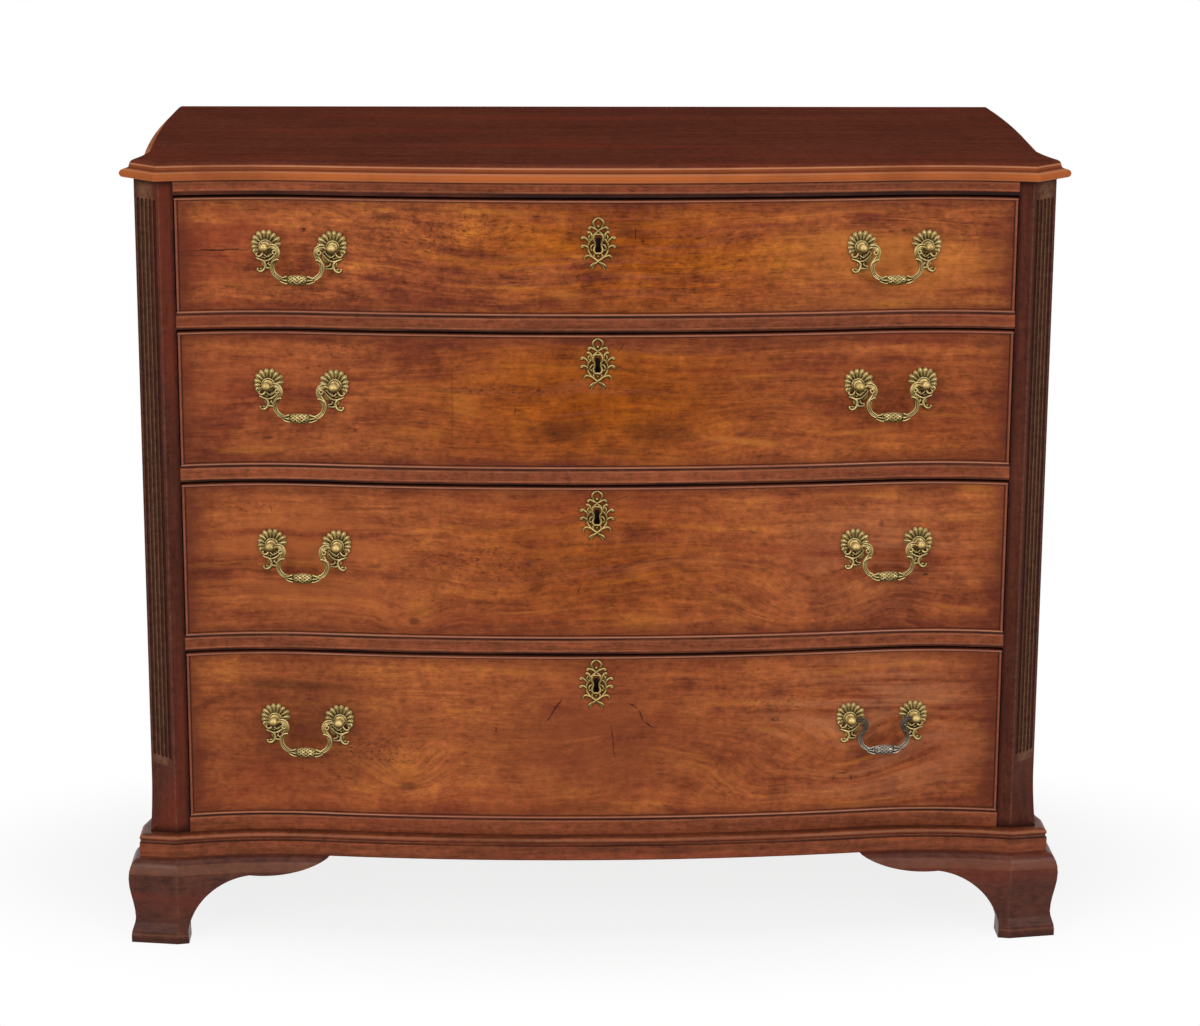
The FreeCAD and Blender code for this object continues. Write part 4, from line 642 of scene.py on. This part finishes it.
def strand(points, radii, sides=2):
    """A cast strand through points in millimetres, as thick at each point as its radius."""
    bare()
    bpy.ops.curve.primitive_bezier_curve_add(location=(0, 0, 0))
    line = bpy.context.object
    knots = line.data.splines[0].bezier_points
    knots.add(len(points) - 2)
    for knot, point, radius in zip(knots, points, radii):
        knot.co = point
        knot.radius = radius
        knot.handle_left_type = knot.handle_right_type = "AUTO"
    line.data.dimensions = "3D"
    line.data.bevel_depth = 1.0
    line.data.bevel_resolution = sides
    line.data.resolution_u = 4
    line.data.use_fill_caps = True
    bpy.ops.object.convert(target="MESH")
    return bpy.context.object


def turned(profile, sides=28):
    """A turned piece about Z: a disc drawn up through pairs of radius and height."""
    bare()
    radius, height = profile[0]
    bpy.ops.mesh.primitive_circle_add(vertices=sides, radius=radius, fill_type="NGON", location=(0, 0, height))
    piece = bpy.context.object
    in_edit_mode()
    for wide, tall in profile[1:]:
        bpy.ops.mesh.extrude_region_move(TRANSFORM_OT_translate={"value": (0, 0, tall - height)})
        bpy.ops.transform.resize(value=(wide / radius, wide / radius, 1), center_override=(0, 0, tall))
        radius, height = wide, tall
    in_object_mode()
    bpy.ops.object.transform_apply(location=True, rotation=True, scale=True)
    return piece


def bead(x, y, z, radius):
    """A small cast bead, flattened on its back."""
    bare()
    bpy.ops.mesh.primitive_uv_sphere_add(segments=10, ring_count=6, radius=radius, location=(x, y, z))
    piece = bpy.context.object
    in_edit_mode()
    bpy.ops.mesh.bisect(plane_co=(x, y, z - radius * 0.6), plane_no=(0, 0, -1), clear_outer=True, use_fill=True)
    in_object_mode()
    return piece


def copied(piece, matrix):
    """A copy of a piece with a mesh of its own, moved by a matrix."""
    twin = piece.copy()
    twin.data = piece.data.copy()
    twin.data.transform(matrix)
    if matrix.determinant() < 0:
        twin.data.flip_normals()
    bpy.context.scene.collection.objects.link(twin)
    return twin


def axes(x, y, z, origin):
    """A matrix from millimetres in a fitting's own frame to metres in the chest's."""
    turn = Matrix((x, y, z)).transposed().to_4x4()
    return Matrix.Translation(origin) @ turn @ Matrix.Scale(MM, 4)


def finished(piece, name, body, nodes, material):
    """Names a piece, sets it on its body and gives it its finish."""
    piece.name = piece.data.name = name
    piece.data.materials.clear()
    piece.data.materials.append(material)
    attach(piece, body)
    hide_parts(*nodes)


def petal(reach):
    """One petal of a rosette along X: a spoon-shaped tongue with a rib down its middle and a rim round its end."""
    tongue = strand([(5, 0, 1.8), (8, 0, 2.2), (11.4, 0, 2.4), (reach - 3.0, 0, 2.3), (reach - 1.2, 0, 2.0),
                     (reach - 0.3, 0, 1.8)], [0.9, 1.35, 1.85, 2.35, 2.0, 1.0], 3)
    tongue.data.transform(Matrix.Diagonal((1, 1, 0.62, 1)))
    rib = strand([(6, 0, 2.2), (9.6, 0, 2.5), (reach - 4.4, 0, 2.75)], [0.42, 0.55, 0.4], 1)
    rim = strand([(reach - 6.4, -1.85, 1.9), (reach - 3.2, -2.3, 2.1), (reach - 0.9, -1.4, 2.0), (reach - 0.2, 0, 2.1),
                  (reach - 0.9, 1.4, 2.0), (reach - 3.2, 2.3, 2.1), (reach - 6.4, 1.85, 1.9)],
                 [0.35, 0.55, 0.65, 0.7, 0.65, 0.55, 0.35], 1)
    return joined([tongue, rib, rim], "petal")


# Foliage below a post, in millimetres away from the handle's middle and up: points and radii
FOLIAGE = [
    ([(2.2, -5), (3.4, -8.6), (6.6, -11.6), (9.4, -11), (10.4, -9.2), (9.2, -8.2)], [1.2, 1.4, 1.5, 1.4, 1.3, 1.4]),
    ([(10.4, -13.2), (7.4, -14.6), (3.6, -16.2), (0.6, -19.6), (0.4, -23.6), (2.6, -27.2), (6.4, -28.6), (9, -26.6),
      (8.2, -24.8)], [1.0, 1.4, 1.6, 1.7, 1.8, 1.6, 1.5, 1.4, 1.5]),
    ([(0, -24.2), (-4, -24.8), (-8, -24.4)], [1.6, 1.5, 1.2]),
    ([(3.6, -16), (-1, -16.5), (-5.5, -14.5), (-9.5, -11), (-12.4, -6.5)], [1.3, 1.4, 1.4, 1.3, 1.1]),
    ([(2, -9), (-2, -12), (-5, -10.5), (-8, -7.5), (-9, -4)], [1.2, 1.3, 1.2, 1.2, 1.1]),
    ([(-2, -19), (-4.5, -21.5), (-8, -22.5)], [1.2, 1.3, 1.1]),
    ([(11.2, -3.4), (13.2, -5.8), (12.2, -8.4)], [1.3, 1.5, 1.1]),
]
# Flat leaves under the foliage: middle and half sizes
PADS = [(-7.2, -11.6, 5.2, 7.6), (5, -12.9, 5, 2.3), (1.8, -20, 2.8, 4.6), (-4.2, -23, 4.6, 2.2), (4.4, -26.4, 3.6, 2)]
# Length of each petal, and the angles of the first and the last
STRETCH = (0.84, 0.87, 0.92, 1.0, 1.05, 1.04, 1.06, 1.02, 1.07, 1.0)
FAN = (-26, 172)


def rosette(look):
    """A rosette with its foliage below: X away from the handle's middle, Y up, Z off the wood."""
    leaf = petal(look.fan)
    plate = turned([(12.6, 0.1), (13.0, 0.5), (12.2, 1.0), (8.6, 1.4), (7.4, 2.2), (6.2, 2.6)], 40)
    in_edit_mode()
    bpy.ops.mesh.bisect(plane_co=(0, -5.4, 0), plane_no=(0, -1, 0), clear_outer=True, use_fill=True)
    in_object_mode()
    bare()
    bpy.ops.mesh.primitive_torus_add(major_radius=6.9, minor_radius=0.9, major_segments=28, minor_segments=8,
                                     location=(0, 0, 2.7))
    parts = [plate, bpy.context.object]
    first, last = FAN
    for index in range(look.petals):
        angle = math.radians(first + (last - first) * index / (look.petals - 1))
        longer = Matrix.Scale(STRETCH[index % len(STRETCH)], 4, (1, 0, 0))
        parts.append(copied(leaf, Matrix.Rotation(angle, 4, "Z") @ longer))
    bpy.data.objects.remove(leaf)
    for count, (points, radii) in enumerate(FOLIAGE):
        parts.append(strand([(x, y, 1.9 + 0.2 * (count % 3)) for x, y in points], radii))
    for x, y, half_x, half_y in PADS:
        bare()
        bpy.ops.mesh.primitive_uv_sphere_add(segments=14, ring_count=8, radius=1, location=(x, y, 0.9),
                                             scale=(half_x, half_y, 0.9))
        parts.append(bpy.context.object)
    for index in range(6):
        parts.append(bead(1 - index * 2.2, -13.2 + index * 1.44, 2.3, 1.2))
        parts.append(bead(-3.4 - index * 1.5, -18.4 + index * 2.1, 1.9, 1.05))
    return joined(parts, "rosette")


def post(look):
    """A post with collar, neck and pommel in front of the wood, and its bolt and nut behind."""
    out, ball = look.pivot, look.pommel
    profile = [(2.5, -31.5), (2.5, 1.2), (6.2, 1.2), (6.4, 2.6), (5.9, 3.6), (5.3, 4.2), (5.4, 5.2), (3.6, 5.9),
               (3.1, 8.4)]
    for step in range(1, 12):
        angle = math.radians(-54 + step * 12)
        profile.append((ball * math.cos(angle), out + ball * math.sin(angle) * 0.92))
    profile.append((0.4, out + ball * 0.93))
    bare()
    bpy.ops.mesh.primitive_cylinder_add(vertices=6, radius=7.2, depth=4, location=(0, 0, -25))
    nut = bpy.context.object
    in_edit_mode()
    bpy.ops.mesh.bevel(offset=0.6, segments=2)
    in_object_mode()
    return joined([turned(profile), nut], "post")


def seat(number, origin, inwards, spread):
    """Where a fitting lies on a drawer front: the middle and the normal of the wood round an axis."""
    front = frame["nodes"][f"drawer_{number}_front"]
    spots, normals = [], []
    for offset in spread:
        hit, spot, normal, _ = front.ray_cast(origin + offset - inwards * 0.05, inwards)
        if not hit:
            raise RuntimeError(f"no wood behind a fitting of drawer {number}")
        spots.append(spot - offset)
        normals.append(normal)
    middle = sum(spots, Vector()) / len(spots)
    return middle, sum(normals, Vector()).normalized()


def handle_frame(number, hand):
    """A handle's pivot, the line of its posts and the direction into the wood, from the bail's joint."""
    joint = next(item for item in frame["joints"] if item["name"] == f"drawer_{number}_{hand}_bail_swing")
    line = -Vector(joint["axis"])
    return Vector(joint["pos_m"]), line, UP.cross(line)


class CHEST_OT_mounts(bpy.types.Operator):
    """Model the rosettes and posts of the handles"""
    bl_idname = "chest.mounts"
    bl_label = "Handle mounts"

    def execute(self, context):
        look = context.scene.chest_brass
        brass = cast_brass("brass_mounts", look.aged, 0.85)
        # The posts' brighter brass: painted light on the pommels, with the polish of hands
        bright = cast_brass("brass_posts", look.handled_and_lit, 1.0)
        fan, stem = rosette(look), post(look)
        for number in DRAWERS:
            for hand in HANDS:
                pivot, line, inwards = handle_frame(number, hand)
                for side, place in ((-1, "left"), (1, "right")):
                    axis = pivot + line * (look.boring / 2 * MM * side)
                    spread = [line * 0.006, line * -0.006, UP * 0.006, UP * -0.006]
                    spot, normal = seat(number, axis, inwards, spread)
                    across = line * side - normal * (line * side).dot(normal)
                    plate = copied(fan, axes(across.normalized(), UP, normal, spot))
                    stalk = copied(stem, axes(line, UP, -inwards, axis + inwards * (look.pivot * MM)))
                    for piece, kind, metal in ((plate, "rosette", brass), (stalk, "post", bright)):
                        finished(piece, f"drawer_{number}_{hand}_{kind}_{place}", f"drawer_{number}",
                                 [f"drawer_{number}_handle_mounts"], metal)
        bpy.data.objects.remove(fan)
        bpy.data.objects.remove(stem)
        return {"FINISHED"}


# One arm of a bail: distance from the middle, before the pivot, and above it, with the strand's radius
BAIL_ARM = [
    (34.4, 0, 0, 1.9), (31.6, 0, 0.2, 2.1), (28.8, 0.6, 1.5, 2.7), (25.6, 1.2, 1.4, 3), (23, 1.5, -1, 3.1),
    (21.9, 1.5, -5, 3), (22.7, 1.2, -9.4, 2.8), (25, 0.8, -13.4, 2.8), (27.3, 0.4, -17.4, 2.8),
    (28.1, 0.2, -21.8, 2.7), (26.9, 0, -26.8, 2.5), (23.4, 0, -31.2, 2.4), (18.2, 0, -34.2, 2.6),
    (13, 0, -35.8, 3.1), (10, 0, -36, 3.4),
]
GRIP_DROP = 36.0


def beside(path, offset, lift, first, last, radius):
    """A rib along part of a bail's arm, offset to one side of it and lifted off it."""
    points = []
    for index in range(first, last):
        before, here, after = path[max(index - 1, 0)], path[index], path[min(index + 1, len(path) - 1)]
        run = Vector((after[0] - before[0], after[2] - before[2])).normalized()
        points.append((here[0] - run.y * offset, -here[1] - lift, here[2] + run.x * offset))
    return strand(points, [radius * 0.7] + [radius] * (len(points) - 2) + [radius * 0.7], 1)


def bail(look):
    """A swan-necked bail: leafy arms, ribbed down their length, and a woven grip between curled leaves."""
    parts = [strand([(u, -v, w) for u, v, w, _ in BAIL_ARM], [radius for *_, radius in BAIL_ARM])]
    parts += [beside(BAIL_ARM, 1.7, 2.3, 2, 13, 0.75), beside(BAIL_ARM, -1.7, 2.3, 2, 13, 0.75),
              beside(BAIL_ARM, 0, 2.7, 5, 13, 0.7)]
    parts += [
        strand([(28, -3.2, -16.3), (25.5, -3.8, -13.6), (22.6, -3.8, -12.2), (20.8, -3.4, -12.6)],
               [0.8, 1.2, 1.3, 1.1]),
        strand([(22.6, -4.2, -4.0), (24.6, -4.4, -6.4), (26.8, -4.2, -5.0), (26.4, -4.0, -2.4), (24.8, -4.0, -2.6)],
               [0.9, 1.0, 1.0, 0.9, 1.1]),
        strand([(30.6, -2.4, 3.8), (27.2, -3.4, 4.4), (23.4, -3.6, 3.0), (20.6, -3.4, -0.6), (19.6, -3.2, -5.0),
                (20.3, -3.2, -9.4)], [0.8, 1.1, 1.1, 1.1, 1.1, 0.8]),
        strand([(19, -2.6, -33.6), (15.6, -3.6, -32.6), (13, -4.2, -31.6), (11.6, -4.4, -30.8)], [0.9, 1.2, 1.2, 0.9]),
        strand([(19.4, -2.6, -36.8), (16, -3.6, -38.2), (12.8, -4.2, -39.2), (10.6, -4.4, -39)], [0.8, 1.2, 1.2, 0.9]),
        strand([(18.0, -3.0, -34.8), (14.4, -4.2, -35.4), (11.4, -4.8, -35.9)], [0.7, 1.1, 0.9]),
    ]
    mirrored = [copied(part, Matrix.Scale(-1, 4, (1, 0, 0))) for part in parts]
    radius = look.grip
    barrel = [(0.5, -13.6), (3.4, -13.6), (4.4, -13), (4.4, -12.2), (3.6, -11.8)]
    barrel += [(radius * (0.62 + 0.26 * math.cos(step / 10 * math.pi / 2) ** 0.8), step * 1.14)
               for step in range(-10, 11)]
    barrel += [(3.6, 11.8), (4.4, 12.2), (4.4, 13), (3.4, 13.6), (0.5, 13.6)]
    core = turned(barrel, 24)
    weave = []
    for hand in (-1, 1):
        for start in range(8):
            points = []
            for step in range(-6, 7):
                swell = radius * (0.64 + 0.28 * math.cos(step / 6 * math.pi / 2) ** 0.8)
                angle = math.radians(start * 45 + hand * step * 17)
                points.append((swell * math.cos(angle), swell * math.sin(angle), step * 1.9))
            weave.append(strand(points, [0.6] + [0.78] * 11 + [0.6], 1))
    grip = joined([core, *weave], "grip")
    grip.data.transform(Matrix.Translation((0, 0, -GRIP_DROP)) @ Matrix.Rotation(math.pi / 2, 4, "Y"))
    return joined([*parts, *mirrored, grip], "bail")


class CHEST_OT_bails(bpy.types.Operator):
    """Model the swinging bails of the handles"""
    bl_idname = "chest.bails"
    bl_label = "Bails"

    def execute(self, context):
        look = context.scene.chest_brass
        brass = cast_brass("brass_bails", look.aged, 0.7)
        grey = cast_brass("brass_bail_grey", look.silver, 0.1, handle_frame(4, "right")[0].z - 0.016)
        swan = bail(look)
        for number in DRAWERS:
            for hand in HANDS:
                pivot, line, inwards = handle_frame(number, hand)
                name = f"drawer_{number}_{hand}_bail"
                piece = copied(swan, axes(line, inwards, UP, pivot))
                plain = (number, hand) != (4, "right")
                finished(piece, f"{name}_cast", name, [name], brass if plain else grey)
        bpy.data.objects.remove(swan)
        return {"FINISHED"}


# Strands of one half of an escutcheon, in millimetres from the keyhole's middle: points and radii
ESCUTCHEON_STRANDS = [
    ([(0, 29), (3.6, 27.2), (5.6, 23.4), (4.6, 19.2), (1.4, 15.8), (-2.6, 12.2), (-6.4, 8.6), (-9, 5)],
     [1.1, 1.2, 1.3, 1.2, 1.3, 1.3, 1.2, 1]),
    ([(1, 15.2), (4.8, 17.4), (8.2, 18.6), (10.6, 17.6), (10.2, 15.8)], [1, 1.3, 1.4, 1.2, 1.2]),
    ([(7.6, 5.6), (7.4, 9.2), (8.8, 12.4), (11.2, 13.6), (11.8, 12)], [1, 1.2, 1.3, 1.2, 1.1]),
    ([(10.8, 0.8), (11.8, 4), (14.4, 6.4), (17.4, 7.4), (18.8, 5.8), (17.2, 5)], [1, 1.2, 1.4, 1.3, 1.1, 1.2]),
    ([(10.8, -6), (12.6, -3.2), (15.6, -2), (18.2, -2.4), (18.8, -4.2), (17, -4.6)], [1, 1.2, 1.4, 1.2, 1.1, 1.2]),
    ([(6.2, -15.4), (9, -13.8), (12.2, -13.2), (14.6, -15.2), (15.4, -18.4)], [1, 1.3, 1.4, 1.2, 0.8]),
    ([(4.2, 9.6), (5.2, 6.6), (8.6, 3.6), (10.9, -1), (11.2, -5.4), (9.8, -10.4), (6, -15.2), (1.2, -19),
      (-3.4, -22.4), (-6, -26.2), (-7, -28.6)], [1, 1.1, 1.3, 1.4, 1.4, 1.3, 1.3, 1.4, 1.5, 1.2, 0.6]),
    ([(3.4, 10.2), (5.4, 7.2), (5.2, 3.6), (3.9, 0.6), (4, -3.2), (5, -6.4), (4.2, -9.4), (2, -11), (0, -10.6)],
     [1.1, 1.2, 1.3, 1.2, 1.2, 1.2, 1.2, 1.2, 1.2]),
    ([(4.6, -0.4), (7, -1.6), (8.4, -4.4), (8, -7.6), (6.2, -7.4)], [0.9, 1, 1.1, 1, 1.1]),
    ([(2.6, -10.2), (4.6, -12.8), (3.8, -16.2), (0.4, -18.4)], [0.9, 1.1, 1.1, 1]),
    ([(0, 10.6), (2.4, 10.8), (4.4, 9.6)], [1.1, 1.2, 1.2]),
    ([(8.6, 3.4), (10.6, 7.4), (9, 10.6)], [0.8, 1, 0.7]),
    ([(2.4, -21), (5.6, -22.6), (8.2, -25.4), (8.8, -28)], [1, 1.3, 1.2, 0.7]),
]


def escutcheon():
    """A pierced rococo escutcheon of crossing strands with curled tips, pinned through its top loop."""
    parts = []
    for count, (points, radii) in enumerate(ESCUTCHEON_STRANDS):
        lift = 1.2 + 0.35 * (count % 3)
        raised = [(x, y, lift + 0.5 * math.sin(index * 1.3)) for index, (x, y) in enumerate(points)]
        half = strand(raised, [radius * 1.16 for radius in radii])
        parts += [half, copied(half, Matrix.Diagonal((-1, 1, 0.9, 1)))]
    for y, radius in ((19.7, 1.9), (-13.8, 1.4)):
        parts.append(bead(0, y, 1.2, radius))
    for x, y in ((9.8, 17.0), (10.8, 12.6), (17.6, 6.0), (17.6, -3.6), (7.2, -7.0)):
        parts += [bead(side * x, y, 1.7, 1.5) for side in (-1, 1)]
    return joined(parts, "escutcheon")


class CHEST_OT_escutcheons(bpy.types.Operator):
    """Model the pierced escutcheons round the keyholes"""
    bl_idname = "chest.escutcheons"
    bl_label = "Escutcheons"

    def execute(self, context):
        brass = cast_brass("brass_escutcheons", context.scene.chest_brass.shaded, 0.4)
        plate = escutcheon()
        right, front = Vector((1, 0, 0)), Vector((0, -1, 0))
        for number in DRAWERS:
            node = f"drawer_{number}_escutcheon"
            low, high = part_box(node)
            middle = Vector((0, low.y, (low.z + high.z) / 2))
            spot, _ = seat(number, middle, -front, [right * 0.012, right * -0.012])
            piece = copied(plate, axes(right, UP, front, spot))
            finished(piece, f"{node}_cast", f"drawer_{number}", [node], brass)
        bpy.data.objects.remove(plate)
        return {"FINISHED"}


def seen_rays(start):
    """1 for rays from the camera, and for those that metal and glass send on."""
    path = start.tree.nodes.new("ShaderNodeLightPath")
    seen, glossy, sent = (Shade(start.tree, path.outputs[f"Is {kind} Ray"])
                          for kind in ("Camera", "Glossy", "Transmission"))
    return seen.larger(glossy).larger(sent)


class CHEST_OT_stage(bpy.types.Operator):
    """Set up the pale floor, the soft light and the camera"""
    bl_idname = "chest.stage"
    bl_label = "Stage"

    def execute(self, context):
        scene, look = context.scene, context.scene.chest_stage
        self.lay_floor(look)
        self.light(scene, look)
        camera = bpy.data.objects.new("camera", bpy.data.cameras.new("camera"))
        scene.collection.objects.link(camera)
        camera.data.lens, camera.data.sensor_width = look.lens, SENSOR
        yaw, pitch, roll = look.turn
        ahead = Vector((math.sin(yaw) * math.cos(pitch), math.cos(yaw) * math.cos(pitch), -math.sin(pitch)))
        level = Vector((math.cos(yaw), -math.sin(yaw), 0))
        above = level.cross(ahead)
        right = level * math.cos(roll) + above * math.sin(roll)
        upright = above * math.cos(roll) - level * math.sin(roll)
        camera.matrix_world = Matrix.Translation(look.eye) @ Matrix((right, upright, -ahead)).transposed().to_4x4()
        scene.camera = camera
        scene.view_settings.view_transform = "Standard"
        return {"FINISHED"}

    def lay_floor(self, look):
        """A wide plain floor that fades to white away from the chest and keeps its shadow."""
        bare()
        bpy.ops.mesh.primitive_circle_add(vertices=96, radius=40, fill_type="NGON", location=(0, 0, -0.0005))
        floor = bpy.context.object
        floor.name = "floor"
        bpy.ops.object.transform_apply(location=True, rotation=True, scale=True)
        material, start, shader = new_material("pale_floor")
        shader.inputs["Base Color"].default_value = (*look.floor, 1)
        shader.inputs["Roughness"].default_value = 0.9
        shader.inputs["Specular IOR Level"].default_value = 0.0
        place = start.add("TexCoord", output="Object")
        oval = place.add("Mapping", {}, {"Vector": place, "Scale": (0.52, 1, 1)})
        share = place.vector("LENGTH", {0: oval}, "Value").step(0.26, 0.5) * 0.17 + 0.83
        white = start.add("Emission", {}, {"Color": (1, 1, 1, 1), "Strength": 1})
        lit = Shade(start.tree, shader.outputs[0])
        blend = start.add("MixShader", {}, {0: seen_rays(start) * share, 1: lit, 2: white})
        start.tree.links.new(blend.socket, start.tree.nodes["Material Output"].inputs["Surface"])
        floor.data.materials.append(material)

    def light(self, scene, look):
        """Two large softboxes before the chest, a weak one above, and even light from all round."""
        for name, place, size, share in (
            ("softbox_left", (-2.1, -3.0, 1.75), 1.8, 1.0), ("softbox_right", (2.1, -3.0, 1.75), 1.8, 1.0),
            ("softbox_above", (0, -0.7, 3.2), 1.6, 0.35),
        ):
            lamp = bpy.data.objects.new(name, bpy.data.lights.new(name, "AREA"))
            lamp.data.shape, lamp.data.size = "DISK", size
            lamp.data.energy = look.lamp * share
            aim = Vector((0, 0, 0.5)) - Vector(place)
            lamp.matrix_world = Matrix.Translation(place) @ aim.to_track_quat("-Z", "Y").to_matrix().to_4x4()
            scene.collection.objects.link(lamp)
        scene.world = bpy.data.worlds.new("studio")
        scene.world.use_nodes = True
        start = Shade(scene.world.node_tree)
        even = start.add("Background", {}, {"Color": (1, 1, 1, 1), "Strength": look.fill})
        white = start.add("Background", {}, {"Color": (1, 1, 1, 1), "Strength": 1})
        blend = start.add("MixShader", {}, {0: seen_rays(start), 1: even, 2: white})
        start.tree.links.new(blend.socket, start.tree.nodes["World Output"].inputs["Surface"])


class CHEST_PT_panel(bpy.types.Panel):
    """The chest's pieces, in the order in which they are made"""
    bl_idname = "CHEST_PT_panel"
    bl_label = "Serpentine chest"
    bl_space_type = "VIEW_3D"
    bl_region_type = "UI"
    bl_category = "Chest"

    def draw(self, context):
        for operator in OPERATORS:
            self.layout.operator(operator.bl_idname)
        for settings in (context.scene.chest_wood, context.scene.chest_brass, context.scene.chest_stage):
            for name in settings.__annotations__:
                self.layout.prop(settings, name)


OPERATORS = (CHEST_OT_carcase, CHEST_OT_drawers, CHEST_OT_mounts, CHEST_OT_bails, CHEST_OT_escutcheons, CHEST_OT_stage)
SETTINGS = {"chest_wood": WoodFinish, "chest_brass": BrassFinish, "chest_stage": StageSettings}


def register():
    for cls in (*SETTINGS.values(), *OPERATORS, CHEST_PT_panel):
        bpy.utils.register_class(cls)
    for name, group in SETTINGS.items():
        setattr(bpy.types.Scene, name, bpy.props.PointerProperty(type=group))


def unregister():
    for name in SETTINGS:
        delattr(bpy.types.Scene, name)
    for cls in (CHEST_PT_panel, *reversed(OPERATORS), *SETTINGS.values()):
        bpy.utils.unregister_class(cls)


def main():
    register()
    bpy.ops.chest.carcase()
    bpy.ops.chest.drawers()
    bpy.ops.chest.mounts()
    bpy.ops.chest.bails()
    bpy.ops.chest.escutcheons()
    bpy.ops.chest.stage()
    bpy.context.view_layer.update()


if __name__ == "__main__":
    main()
